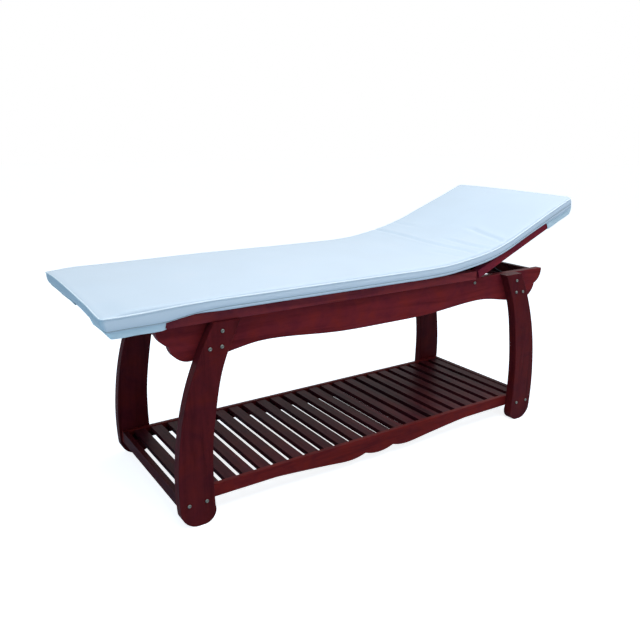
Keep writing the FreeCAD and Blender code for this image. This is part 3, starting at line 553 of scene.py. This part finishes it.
# Side of the mattress from the upper seam down: the edge that a row goes by, how far it stands out, and its height
# from that edge, or its share of the height between the seams
SIDE_ROWS = [
    ("upper", 1.2, -1.2), ("upper", 1.9, -3.4), ("share", 2.7, 0.66), ("share", 3.2, 0.42), ("share", 2.8, 0.18),
    ("lower", 1.8, 2.0), ("lower", 0.6, 0.0), ("lower", 1.3, -2.2), ("lip", 0.2, 3.0), ("lip", -2.8, 0.7),
    ("lip", -7.0, 0.0), ("lip", -11.6, 0.4), ("base", -13.2, 0.0),
]
BASE_INSET = 24.0
# The foot end's face leans back by this much at its lip, along a curve of this power, and is fuller by this share
FOOT_LEAN = 15.0
LEAN_POWER = 1.25
FOOT_FULLER = 0.6


def side_point(kind, out, step, run, across, normals):
    """A point on the side, in a foot end face that leans back toward its lip."""
    upper = upper_seam(run, across)
    lower = lower_seam(run, across)
    lip = lip_height(run, across)
    height = {
        "upper": upper + step, "share": lower + (upper - lower) * step, "lower": lower + step, "lip": lip + step,
        "base": np.maximum(lip, 0),
    }[kind]
    to_foot = np.clip(-normals[0], 0, 1)
    lean = FOOT_LEAN * np.clip((upper - height) / (upper - lip), 0, 1) ** LEAN_POWER * to_foot
    if kind == "share":
        out = out * (1 + FOOT_FULLER * to_foot)
    return in_space(run + normals[0] * out + lean, across + normals[1] * out, height)


def plan_normals(run, across):
    """Outward directions in the plan for points on its edge."""
    dx, dy = past_corners(run, across)
    dx = np.maximum(dx, 0) * np.sign(run - LENGTH / 2)
    dy = np.maximum(dy, 0) * np.sign(across)
    size = np.maximum(np.hypot(dx, dy), 1e-9)
    return dx / size, dy / size


def placed(name, data):
    """A new object in the scene, at the origin."""
    thing = bpy.data.objects.new(name, data)
    bpy.context.scene.collection.objects.link(thing)
    return thing


def mesh_object(name, vertices, faces=(), edges=(), smooth_shaded=True):
    mesh = bpy.data.meshes.new(name)
    mesh.from_pydata([tuple(v) for v in vertices], edges, faces)
    mesh.validate()
    mesh.polygons.foreach_set("use_smooth", [smooth_shaded] * len(mesh.polygons))
    return placed(name, mesh)


def face_outwards(thing):
    work = bmesh.new()
    work.from_mesh(thing.data)
    bmesh.ops.recalc_face_normals(work, faces=work.faces)
    work.to_mesh(thing.data)
    work.free()


def fabric_layer(thing, coordinates):
    """A UV map in metres along the cloth, from one pair a vertex."""
    layer = thing.data.uv_layers.new(name="fabric")
    corners = np.empty(len(thing.data.loops), int)
    thing.data.loops.foreach_get("vertex_index", corners)
    layer.data.foreach_set("uv", np.asarray(coordinates, float)[corners].ravel())


def band(upper, lower):
    """Faces between two closed rings of as many vertices."""
    return list(zip(upper, upper[1:] + upper[:1], lower[1:] + lower[:1], lower))


def grid_quads(rows, columns, first=0):
    """Faces of a grid of vertices that are numbered row after row."""
    corners = (0, 1, columns + 1, columns)
    starts = [first + i * columns + j for i in range(rows - 1) for j in range(columns - 1)]
    return [tuple(k + c for c in corners) for k in starts]


def plan_grid(long_step, cross_step, *fine_stretch):
    """A grid over the plan, the ring of its edge places, and where the ring runs with its outward directions."""
    long_places = spaced(LENGTH, long_step, *fine_stretch)
    cross_places = spaced(2 * HALF_WIDTH, cross_step) - HALF_WIDTH
    run, across = rounded_plan(*np.meshgrid(long_places, cross_places, indexing="ij"))
    ring = outline_ring(*run.shape)
    rows, columns = (list(places) for places in zip(*ring))
    ring_run, ring_across = run[rows, columns], across[rows, columns]
    return run, across, ring, (ring_run, ring_across, plan_normals(ring_run, ring_across))


def plan_metres(run, across):
    return np.stack([run, across], -1).reshape(-1, 2) / 1000


# The mattress's grid: its steps along and across, and the bend's stretch with its finer step
GRID_STEPS = (10.0, 11.0)
BEND_STRETCH = (1225.0, 1560.0, 5.0)
# The top swells by this much within this distance of its edge
SWELL = 2.2
SWELL_REACH = 26.0
# Length of cloth that the side's rows take up, each
ROW_CLOTH = 6.0


def mattress_body(crown, crease):
    run, across, ring, (ring_run, ring_across, normals) = plan_grid(*GRID_STEPS, *BEND_STRETCH)
    rows, columns = run.shape
    distance = np.clip(edge_distance(run, across), 0, None)
    radius = ROLL_AT_FOOT + (ROLL - ROLL_AT_FOOT) * eased(run / FOOT_REACH)
    roll = np.sqrt(np.clip(1 - (1 - np.clip(distance / radius, 0, 1)) ** 2, 0, 1))
    seam = upper_seam(run, across)
    swell = SWELL * (1 - np.exp(-distance / SWELL_REACH))
    height = seam + (top_height(run, across, crown, crease) - SWELL - seam) * roll + swell
    vertices = [in_space(run, across, height).reshape(-1, 3)]
    fabric = [plan_metres(run, across)]
    faces = [(a, d, c, b) for a, b, c, d in grid_quads(rows, columns)]
    edge = [i * columns + j for i, j in ring]
    count = len(ring)
    previous, first = edge, rows * columns
    for k, (kind, out, step) in enumerate(SIDE_ROWS, 1):
        vertices.append(side_point(kind, out, step, ring_run, ring_across, normals))
        away = k * ROW_CLOTH
        fabric.append(plan_metres(ring_run + normals[0] * away, ring_across + normals[1] * away))
        current = list(range(first, first + count))
        faces += band(previous, current)
        previous, first = current, first + count
    base_run = LENGTH / 2 + (run - LENGTH / 2) * (LENGTH / 2 - BASE_INSET) / (LENGTH / 2)
    base_across = across * (HALF_WIDTH - BASE_INSET) / HALF_WIDTH
    vertices.append(in_space(base_run, base_across, np.zeros_like(run)).reshape(-1, 3))
    fabric.append(plan_metres(base_run, base_across))
    faces += band(previous, [first + k for k in edge])
    faces += grid_quads(rows, columns, first)
    body = mesh_object("mattress", np.concatenate(vertices), faces)
    fabric_layer(body, np.concatenate(fabric))
    face_outwards(body)
    return body


SEAM_STEP = 9.0


def edge_path(name, kind, out, lift):
    """A closed line of vertices that follows one seam round the mattress."""
    points = side_point(kind, out, lift, *plan_grid(SEAM_STEP, SEAM_STEP)[3])
    count = len(points)
    return mesh_object(name, points, edges=[(n, (n + 1) % count) for n in range(count)])


# Geometry Nodes
def node_group(name, *inputs):
    """A tree with named inputs, each as (label, kind), what its input node gives, and its output node."""
    tree = bpy.data.node_groups.new(name, "GeometryNodeTree")
    for label, kind in (("Geometry", "Geometry"), *inputs):
        tree.interface.new_socket(label, in_out="INPUT", socket_type="NodeSocket" + kind)
    tree.interface.new_socket("Geometry", in_out="OUTPUT", socket_type="NodeSocketGeometry")
    return tree, add_node(tree, "NodeGroupInput").outputs, add_node(tree, "NodeGroupOutput")


def finish_tree(tree, geometry, start, end):
    realize = add_node(tree, "GeometryNodeRealizeInstances", {"Geometry": geometry})
    inputs = {"Geometry": realize.outputs["Geometry"], "Material": start["Material"]}
    paint = add_node(tree, "GeometryNodeSetMaterial", inputs)
    wire(tree, paint.outputs["Geometry"], end.inputs["Geometry"])
    return tree


def stitch_tree():
    """Short threads set end to end along a path."""
    tree, start, end = node_group(
        "stitches along a path", ("Pitch", "Float"), ("Stitch length", "Float"), ("Thread radius", "Float"),
        ("Material", "Material"),
    )
    curve = add_node(tree, "GeometryNodeMeshToCurve", {"Mesh": start["Geometry"]}).outputs["Curve"]
    pitch = {"Curve": curve, "Length": start["Pitch"]}
    points = add_node(tree, "GeometryNodeCurveToPoints", pitch, mode="LENGTH").outputs
    bead = add_node(tree, "GeometryNodeMeshUVSphere", {"Segments": 6, "Rings": 5, "Radius": 0.5})
    width = add_node(tree, "ShaderNodeMath", {0: start["Thread radius"], 1: 2.0}, operation="MULTIPLY").outputs[0]
    size = add_node(tree, "ShaderNodeCombineXYZ", {"X": width, "Y": width, "Z": start["Stitch length"]})
    place = add_node(tree, "GeometryNodeInstanceOnPoints", {
        "Points": points["Points"], "Instance": bead.outputs["Mesh"], "Rotation": points["Rotation"],
        "Scale": size.outputs["Vector"],
    })
    return finish_tree(tree, place.outputs["Instances"], start, end)


def cord_tree():
    """A thin round cord along a closed path."""
    tree, start, end = node_group("cord along a path", ("Cord radius", "Float"), ("Material", "Material"))
    curve = add_node(tree, "GeometryNodeMeshToCurve", {"Mesh": start["Geometry"]})
    circle = add_node(tree, "GeometryNodeCurvePrimitiveCircle", {"Resolution": 8, "Radius": start["Cord radius"]})
    inputs = {"Curve": curve.outputs["Curve"], "Profile Curve": circle.outputs["Curve"]}
    return finish_tree(tree, add_node(tree, "GeometryNodeCurveToMesh", inputs).outputs["Mesh"], start, end)


def repeat_tree():
    """One template object set on each point of a mesh."""
    tree, start, end = node_group("one piece at each point", ("Template", "Object"), ("Material", "Material"))
    info = add_node(tree, "GeometryNodeObjectInfo", {"Object": start["Template"]})
    inputs = {"Points": start["Geometry"], "Instance": info.outputs["Geometry"]}
    return finish_tree(tree, add_node(tree, "GeometryNodeInstanceOnPoints", inputs).outputs["Instances"], start, end)


def grown(source, tree, values, name):
    """Runs a node tree on an object and returns the result as a plain mesh object."""
    modifier = source.modifiers.new("pattern", "NODES")
    modifier.node_group = tree
    sockets = {item.name: item.identifier for item in tree.interface.items_tree if item.in_out == "INPUT"}
    for label, value in values.items():
        modifier[sockets[label]] = value
    bpy.context.view_layer.update()
    evaluated = source.evaluated_get(bpy.context.evaluated_depsgraph_get())
    mesh = bpy.data.meshes.new_from_object(evaluated)
    source.modifiers.remove(modifier)
    bpy.data.objects.remove(source)
    mesh.name = name
    mesh.polygons.foreach_set("use_smooth", [True] * len(mesh.polygons))
    mesh.materials.clear()
    mesh.materials.append(values["Material"])
    return placed(name, mesh)


def bend_with_backrest(thing):
    """Bakes a piece's placement into its mesh; the piece is not bent here."""
    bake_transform(thing)


def sewn(name, seam, tree, values):
    """Grows a thread or a cord along one seam of the mattress."""
    thing = grown(edge_path(name + " path", *seam), tree, values, name)
    bend_with_backrest(thing)


# Pockets: the deck corner that each grips, seen on the front side and measured flat from the hinge at the head. Its
# reach is how far the wall stands out past the deck's end at its top and at its hem, on the front side and the rear.
POCKET_FOOT = {
    "end": -914.0, "inward": 1, "bottom": 621.5, "free_edge": -779.0, "reach": (21.0, 13.0),
    "reach_rear": (17.0, 1.0),
}
POCKET_HEAD = {
    "end": 963.0, "inward": -1, "bottom": 621.8, "free_edge": 825.5, "reach": (22.0, 2.0),
    "reach_rear": (20.0, -2.0),
}
DECK_SIDE = outer_face("deck_rail_front")
POCKET_CORNER = 5.0
CORNER_CLOTH = 8.0
POCKET_GAP = 1.2
POCKET_ACROSS_END = 165.0
POCKET_STEP = 5.0
# The wall's height over the deck's underside, and the shares of it at which its rows lie
WALL = 30.0
WALL_SHARES = (0.0, 0.14, 0.3, 0.46, 0.62, 0.76, 0.87, 0.94, 1.0)
# How far a pocket's end wall folds in under the mattress, and how far in the rows of its flap under the deck lie
TUCK = 15.0
TUCK_RISE = 1.5
FLAP_DEPTHS = (1.2, 4.0, 12.0, 26.0, 44.0)
CLOTH = 0.0014


def pocket_path(pocket):
    """Plan points round the corner and across the end, with outward normals and the cloth's run."""
    inward, corner = pocket["inward"], POCKET_CORNER
    side_y = -DECK_SIDE - POCKET_GAP
    end_x = pocket["end"] - inward * POCKET_GAP
    side_length = abs(pocket["free_edge"] - end_x) - corner
    past_corner = side_length + CORNER_CLOTH
    points = []
    for t in np.linspace(0, 1, int(side_length / POCKET_STEP) + 1):
        points.append((pocket["free_edge"] - inward * t * side_length, side_y, 0.0, -1.0, t * side_length))
    for a in np.linspace(0, pi / 2, 7)[1:]:
        x = end_x + inward * corner * (1 - sin(a))
        y = side_y + corner * (1 - cos(a))
        points.append((x, y, -inward * sin(a), -cos(a), side_length + corner * a))
    for t in np.linspace(0, 1, int(POCKET_ACROSS_END / POCKET_STEP) + 1)[1:]:
        y = side_y + corner + t * (POCKET_ACROSS_END - corner)
        points.append((end_x, y, -inward, 0.0, past_corner + t * POCKET_ACROSS_END))
    return np.array(points)


def pocket_cloth(name, pocket, rear, lifted):
    """Cloth round one deck corner: a wall that hangs from the mattress, a hem, and a flap under the deck."""
    x, y, nx, ny, run = pocket_path(pocket).T
    ripple = 0.8 * np.sin(run / 17.0) + 0.5 * np.sin(run / 7.3 + 1.0)
    free = np.exp(-run / 9.0)
    bottom = pocket["bottom"] - 1.6 + 0.7 * np.sin(run / 29.0) + 5.0 * free
    top = pocket["bottom"] + WALL
    wide, narrow = pocket["reach_rear" if rear else "reach"]
    rows = []
    for share in WALL_SHARES:
        bulge = 2.4 * sin(pi * min(share * 1.05, 1.0)) + ripple * share * (1 - share) * 1.6
        pull = 3.5 * free * share
        reach = wide + (narrow - wide) * share
        stretch = reach * (x - pocket["free_edge"]) / (pocket["end"] - pocket["free_edge"])
        wall_x = x + nx * bulge - pocket["inward"] * (stretch + pull * (ny < 0))
        z = top + (bottom - top) * share
        rows.append(np.stack([wall_x, y + ny * bulge, z, run, share * WALL + 0 * run], -1))
    tucked = rows[0].copy()
    tucked[:, 0] -= TUCK * nx
    tucked[:, 2] += TUCK_RISE
    tucked[:, 4] -= TUCK
    rows.insert(0, tucked)
    limit = np.clip((run - 24) / 12, 0, 1) * np.clip((run[-1] - run) / 10 + 0.3, 0, 1)
    for depth in FLAP_DEPTHS:
        reach = depth * np.clip(limit, 0.04, 1)
        z = bottom - 0.9 + 0.4 * np.sin(run / 11.0 + depth)
        under_x = x - pocket["inward"] * stretch - nx * reach
        rows.append(np.stack([under_x, y - ny * reach, z, run, WALL + depth + 0 * run], -1))
    grid = np.array(rows)
    if rear:
        grid[:, :, 1] *= -1
    flat = grid.reshape(-1, 5)
    px, pz = flat[:, 0], flat[:, 2]
    if lifted:
        px, pz = lifted_place(px - HINGE_X, pz - HINGE_Z)
    vertices = np.stack([px / 1000 + BED_X, flat[:, 1] / 1000, pz / 1000], -1)
    outwards = rear == (pocket["inward"] == 1)
    faces = grid_quads(*grid.shape[:2])
    cloth = mesh_object(name, vertices, faces if outwards else [quad[::-1] for quad in faces])
    fabric_layer(cloth, flat[:, 3:5] / 1000)
    wall = cloth.modifiers.new("cloth thickness", "SOLIDIFY")
    wall.thickness = CLOTH
    wall.offset = 0.0
    return cloth


# Bolts
BOLT_SIDES = 24
# The share of the head's radius that is flat on top, and of its height that is domed
FLAT_TOP = 0.60
DOME = 0.78


def bolt_rings(radius, height, socket, shank_radius, shank_length):
    """Rings of a domed bolt with a hexagon socket, from the socket's floor over the head to the shank's end."""
    rings = [("hexagon", 1.25 * height), ("hexagon", 0.02 * height), (FLAT_TOP * radius, 0.0)]
    for a in np.linspace(0, pi / 2, 6)[1:]:
        dome_radius = radius * (FLAT_TOP + (1 - FLAT_TOP) * sin(a))
        rings.append((dome_radius, height * DOME * (1 - cos(a))))
    rings += [(radius, height), (shank_radius, height), (shank_radius, height + shank_length)]
    points = []
    for size, depth in rings:
        for k in range(BOLT_SIDES):
            a = 2 * pi * k / BOLT_SIDES
            r = size
            if size == "hexagon":
                r = socket / 2 / cos((a + pi / 6) % (pi / 3) - pi / 6)
            points.append((r * cos(a), depth, r * sin(a)))
    return points, len(rings)


def bolt_template(name, size, facing):
    """A bolt whose head's top is at y = 0 and whose shank runs inwards. facing is -1 for a head that looks to -Y."""
    points, count = bolt_rings(*size)
    rings = [list(range(r * BOLT_SIDES, (r + 1) * BOLT_SIDES)) for r in range(count)]
    faces = [tuple(rings[0]), tuple(rings[-1])]
    for upper, lower in zip(rings, rings[1:]):
        faces += band(upper, lower)
    bolt = mesh_object(name, [(x, -facing * y, z) for x, y, z in points], faces)
    face_outwards(bolt)
    return bolt


# Leg bolts at one end, along from the bed's middle and up from the floor. The other end mirrors them.
LEG_BOLTS = [(620, 596), (623, 550), (660, 548), (744, 76), (688, 76)]
BOLT_FACE = outer_face("leg_bolts")
PIVOT_FACE = outer_face("pivot_bolt_front")
SHANK_RADIUS = 0.004
LEG_SHANK = 0.049
PIVOT_SHANK = 0.0457
PIVOT_HEAD_HIGHER = 0.0004


def bolts_on(name, places, face, facing, size, material):
    """Bolts on one side of the bed, as one plain mesh."""
    template = bolt_template("bolt pattern", size, facing)
    points = [(x / 1000 + BED_X, facing * face / 1000, z / 1000) for x, z in places]
    cloud = mesh_object("bolt places", points)
    bolts = grown(cloud, repeat_tree(), {"Template": template, "Material": material}, name)
    bpy.data.objects.remove(template)
    return bolts


def joined(name, things):
    """Several plain meshes as one, with the first one's material."""
    work = bmesh.new()
    for thing in things:
        work.from_mesh(thing.data)
    mesh = bpy.data.meshes.new(name)
    work.to_mesh(mesh)
    work.free()
    mesh.materials.append(things[0].data.materials[0])
    for thing in things:
        bpy.data.objects.remove(thing)
    return placed(name, mesh)


# The slats' tone changes once every pitch. The inner wood takes a small share of the stains' colour, as painted shade
# for the bed's dark inside.
SLAT_TONE_STEP = 0.0621
INNER_SHADE = 0.12
INNER_ROUGHNESS = 0.6


class BED_OT_wood(bpy.types.Operator):
    """Gives every wooden piece its stained and lacquered finish"""

    bl_idname = "bed.wood"
    bl_label = "Finish the wood"

    def execute(self, context):
        wood = settings(context)[1]
        deep, warm, dusk = tuple(wood.deep), tuple(wood.warm), tuple(wood.dusk)
        stains = [
            ("mahogany rail", "X", deep, warm, (0, 0, 0), "apron_front apron_rear"),
            # The deck rails take a lighter, greyer copy of the rail stain: painted light and sheen against the shade
            # under the mattress's overhang.
            ("mahogany deck rail with painted light", "X", tinted(deep, 1.1, 1.8, 1.7), tinted(warm, 1.2, 1.8, 1.7), (0, 6, 0),
             "deck_rail_front deck_rail_rear"),
            # The shelf rails take a darker, more orange copy of the rail stain; the orange is a painted highlight for
            # the sheen along their top edges.
            ("mahogany shelf rail with painted highlight", "X", scaled(deep, 0.8), tinted(warm, 0.88, 0.80, 0.60), (3, 0, 0),
             "shelf_rail_front shelf_rail_rear"),
            ("mahogany leg", "Z", scaled(deep, 0.55), scaled(warm, 0.56), (0, 0, 5),
             "leg_front_foot leg_front_head leg_rear_foot leg_rear_head"),
            # The rails across the bed's ends take a darker copy of the rail stain: painted shade for faces that turn
            # away from the light.
            ("mahogany end rails in painted shade", "Y", tinted(deep, 0.45, 0.7, 0.7), tinted(warm, 0.42, 0.50, 0.50), (0, 4, 0),
             "cross_rail_foot cross_rail_head shelf_end_rail_foot shelf_end_rail_head deck_end_rail_foot"),
            ("mahogany lifted rail", "X", scaled(warm, 0.85), tinted(warm, 1.35, 1.35, 1.75), (7, 0, 0),
             "backrest_rail_front backrest_rail_rear"),
        ]
        for name, along, dark, light, shift, nodes in stains:
            finish_nodes(nodes.split(), stained_wood(name, along, dark, light, wood.lacquer, shift))
        slat = stained_wood(
            "mahogany slat", "Y", scaled(dusk, 0.30), scaled(dusk, 0.62), wood.lacquer, (1, 2, 0), SLAT_TONE_STEP,
        )
        finish_nodes(["shelf_slats"], slat)
        # The inner pieces and panels take a small share of the stains: painted shade for the dark inside of the bed.
        shaded_deep, shaded_warm = scaled(deep, INNER_SHADE), scaled(warm, INNER_SHADE)
        painted_shade_wood = stained_wood("inner wood in painted shade", "Y", shaded_deep, shaded_warm, INNER_ROUGHNESS, (2, 5, 0))
        finish_nodes([
            "rack_front", "rack_rear", "prop_leg_front", "prop_leg_rear", "prop_crossbar", "deck_battens",
            "deck_end_rail_hinge", "backrest_end_rail_hinge", "backrest_end_rail_head", "backrest_battens",
            "shelf_ledger_front", "shelf_ledger_rear",
        ], painted_shade_wood)
        finish_nodes(["deck_panel", "backrest_panel"], plywood("plywood in painted shade", shaded_deep, shaded_warm))
        return {"FINISHED"}


class BED_OT_hardware(bpy.types.Operator):
    """Makes the socket bolts and gives all fittings their metal"""

    bl_idname = "bed.hardware"
    bl_label = "Make the bolts and finish the metal"

    def execute(self, context):
        hardware = settings(context)[2]
        zinc = worn_metal("zinc plate", tuple(hardware.zinc), 0.36)
        # The fittings' steel is blackened, and its colour is taken darker still as painted shade for the fittings
        # inside the bed.
        plate = worn_metal("blackened steel in painted shade", (0.030, 0.030, 0.034), 0.50, 0.6)
        radius, height, socket = hardware.head_radius, hardware.head_height, hardware.socket
        leg_size = (radius, height, socket, SHANK_RADIUS, LEG_SHANK)
        both = [(side * x, z) for x, z in LEG_BOLTS for side in (1, -1)]
        leg_bolts = joined("leg_socket_bolts", [
            bolts_on("bolts front", both, BOLT_FACE, -1, leg_size, zinc),
            bolts_on("bolts rear", both, BOLT_FACE, 1, leg_size, zinc),
        ])
        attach(leg_bolts, "base")
        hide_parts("leg_bolts")
        pivot_size = (radius, height + PIVOT_HEAD_HIGHER, socket, SHANK_RADIUS, PIVOT_SHANK)
        for name, facing in (("front", -1), ("rear", 1)):
            bolt = bolts_on("pivot_socket_bolt_" + name, [(HINGE_X, HINGE_Z)], PIVOT_FACE, facing, pivot_size, zinc)
            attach(bolt, "base")
            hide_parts("pivot_bolt_" + name)
        fittings = ("_screws", "_washers", "_nuts", "prop_bolts")
        finish_nodes([n for n in frame["nodes"] if "bracket" in n or n.endswith(fittings)], plate)
        return {"FINISHED"}


class BED_OT_mattress(bpy.types.Operator):
    """Makes the padded mattress with its creases at the bend"""

    bl_idname = "bed.mattress"
    bl_label = "Make the mattress"

    def execute(self, context):
        mattress = settings(context)[0]
        body = mattress_body(mattress.crown * 1000, mattress.crease * 1000)
        body.data.materials.append(coated_cover("pale coated cover", tuple(mattress.cover), "fabric"))
        bend_with_backrest(body)
        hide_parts("mattress_main", "mattress_bend", "mattress_head")
        return {"FINISHED"}


class BED_OT_seams(bpy.types.Operator):
    """Sews the mattress: piping in the upper seam, stitches under it and a cord in the lower seam"""

    bl_idname = "bed.seams"
    bl_label = "Sew the seams"

    def execute(self, context):
        mattress = settings(context)[0]
        thread = plain_thread("pale thread", tuple(mattress.thread))
        # The piping is the cover colour lightened: a painted highlight that makes the bead read as a bright line.
        piping = plain_thread("piping cover with painted highlight", tinted(mattress.cover, 1.36, 1.29, 1.22))
        cord = plain_thread("lower seam cord", tuple(mattress.seam))
        sewn("mattress_stitches", STITCH_SEAM, stitch_tree(), {
            "Pitch": mattress.stitch_pitch, "Stitch length": mattress.stitch_length,
            "Thread radius": mattress.thread_radius, "Material": thread,
        })
        sewn("mattress_piping", PIPING_SEAM, cord_tree(), {"Cord radius": mattress.piping_radius, "Material": piping})
        sewn("mattress_lower_seam", LOWER_SEAM, cord_tree(), {"Cord radius": mattress.seam_radius, "Material": cord})
        return {"FINISHED"}


class BED_OT_pockets(bpy.types.Operator):
    """Makes the four cloth pockets that hold the mattress on the deck's corners"""

    bl_idname = "bed.pockets"
    bl_label = "Make the corner pockets"

    def execute(self, context):
        mattress = settings(context)[0]
        cloth_finish = coated_cover("pocket cloth", tinted(mattress.cover, 1.12, 1.18, 1.13), "fabric")
        for side in ("front", "rear"):
            for end, pocket, body in (("foot", POCKET_FOOT, "base"), ("head", POCKET_HEAD, "backrest")):
                name = side + "_" + end
                cloth = pocket_cloth("corner_pocket_" + name, pocket, side == "rear", end == "head")
                cloth.data.materials.append(cloth_finish)
                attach(cloth, body)
                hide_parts("mattress_pocket_" + name)
        return {"FINISHED"}


class BED_OT_stage(bpy.types.Operator):
    """Sets the floor, the lamps, the room's light and the camera"""

    bl_idname = "bed.stage"
    bl_label = "Set the stage"

    def execute(self, context):
        stage = settings(context)[3]
        make_floor(stage.floor_size)
        make_room(stage.sky)
        add_lamp("overhead lamp", (0.15, -0.7, 3.1), (0.0, 0.0, 0.6), 3.2, stage.overhead)
        add_lamp("front lamp", (0.9, -3.4, 1.5), (0.0, 0.0, 0.45), 2.2, stage.front)
        add_lamp("window side lamp", (-3.6, -0.8, 1.2), (-0.6, 0.0, 0.55), 1.8, stage.side, (0.35, 0.80, 1.0))
        make_camera()
        context.scene.view_settings.view_transform = "Standard"
        return {"FINISHED"}


def camera_sees(tree):
    """1 for rays from the camera and for what gloss and glass show of the background."""
    rays = add_node(tree, "ShaderNodeLightPath").outputs
    seen = rays["Is Camera Ray"]
    for other in ("Is Glossy Ray", "Is Transmission Ray"):
        seen = add_node(tree, "ShaderNodeMath", {0: seen, 1: rays[other]}, operation="MAXIMUM").outputs[0]
    return seen


def make_floor(size):
    half = size / 2
    corners = [(-half, -half, 0), (half, -half, 0), (half, half, 0), (-half, half, 0)]
    floor = mesh_object("floor", corners, [(0, 1, 2, 3)], smooth_shaded=False)
    material, tree, shader = new_material("pale floor")
    plain = {"Base Color": (0.68, 0.78, 0.88, 1), "Roughness": 0.9, "Specular IOR Level": 0.1}
    set_inputs(tree, shader, plain)
    glow = add_node(tree, "ShaderNodeEmission", {"Strength": 0.85}).outputs["Emission"]
    lit = add_node(tree, "ShaderNodeAddShader", {0: shader.outputs["BSDF"], 1: glow}).outputs["Shader"]
    seen = add_node(tree, "ShaderNodeLightPath").outputs["Is Camera Ray"]
    choice = add_node(tree, "ShaderNodeMixShader", {"Fac": seen, 1: shader.outputs["BSDF"], 2: lit})
    wire(tree, choice.outputs["Shader"], tree.nodes["Material Output"].inputs["Surface"])
    floor.data.materials.append(material)


def make_room(strength):
    world = bpy.data.worlds.new("plain room")
    world.use_nodes = True
    bpy.context.scene.world = world
    tree = world.node_tree
    tree.nodes.clear()
    even, white = (
        add_node(tree, "ShaderNodeBackground", {"Color": colour, "Strength": power}).outputs["Background"]
        for colour, power in (((0.62, 0.83, 1.0, 1), strength), ((1, 1, 1, 1), 1))
    )
    choice = add_node(tree, "ShaderNodeMixShader", {"Fac": camera_sees(tree), 1: even, 2: white})
    add_node(tree, "ShaderNodeOutputWorld", {"Surface": choice.outputs["Shader"]})


def add_lamp(name, place, target, size, power, colour=(1, 1, 1)):
    lamp = bpy.data.lights.new(name, "AREA")
    lamp.size = size
    lamp.energy = power
    lamp.color = colour
    thing = placed(name, lamp)
    thing.location = place
    thing.rotation_euler = (Vector(target) - Vector(place)).to_track_quat("-Z", "Y").to_euler()


def make_camera():
    """The photograph's viewpoint, worked out from the bed's own lines."""
    yaw, pitch, roll = -0.593906, 0.281800, 0.011064
    back = Vector((sin(yaw) * cos(pitch), -cos(yaw) * cos(pitch), sin(pitch)))
    right = (-back).cross(Vector((0, 0, 1))).normalized()
    up = right.cross(-back)
    turned_right = cos(roll) * right + sin(roll) * up
    turned_up = -sin(roll) * right + cos(roll) * up
    camera = bpy.data.cameras.new("viewpoint")
    camera.sensor_width = 36.0
    camera.lens = 37.090
    camera.clip_end = 100.0
    thing = placed("viewpoint", camera)
    place = Vector((BED_X - 1.386956, -1.923471, 1.145523))
    thing.matrix_world = Matrix.Translation(place) @ Matrix((turned_right, turned_up, back)).transposed().to_4x4()
    bpy.context.scene.camera = thing


class BED_PT_panel(bpy.types.Panel):
    bl_label = "Massage bed"
    bl_idname = "BED_PT_panel"
    bl_space_type = "VIEW_3D"
    bl_region_type = "UI"
    bl_category = "Bed"

    def draw(self, context):
        for group in settings(context):
            box = self.layout.box()
            for name in group.__annotations__:
                box.prop(group, name)
        for operator in OPERATORS:
            self.layout.operator(operator.bl_idname)


OPERATORS = (BED_OT_wood, BED_OT_hardware, BED_OT_mattress, BED_OT_seams, BED_OT_pockets, BED_OT_stage)
GROUPS = {
    "bed_mattress": MattressSettings,
    "bed_wood": WoodSettings,
    "bed_hardware": HardwareSettings,
    "bed_stage": StageSettings,
}
CLASSES = (*GROUPS.values(), *OPERATORS, BED_PT_panel)


def register():
    for cls in CLASSES:
        bpy.utils.register_class(cls)
    for name, group in GROUPS.items():
        setattr(bpy.types.Scene, name, bpy.props.PointerProperty(type=group))


def unregister():
    for name in GROUPS:
        delattr(bpy.types.Scene, name)
    for cls in reversed(CLASSES):
        bpy.utils.unregister_class(cls)


def main():
    register()
    bpy.ops.bed.wood()
    bpy.ops.bed.hardware()
    bpy.ops.bed.mattress()
    bpy.ops.bed.seams()
    bpy.ops.bed.pockets()
    bpy.ops.bed.stage()


if __name__ == "__main__":
    main()
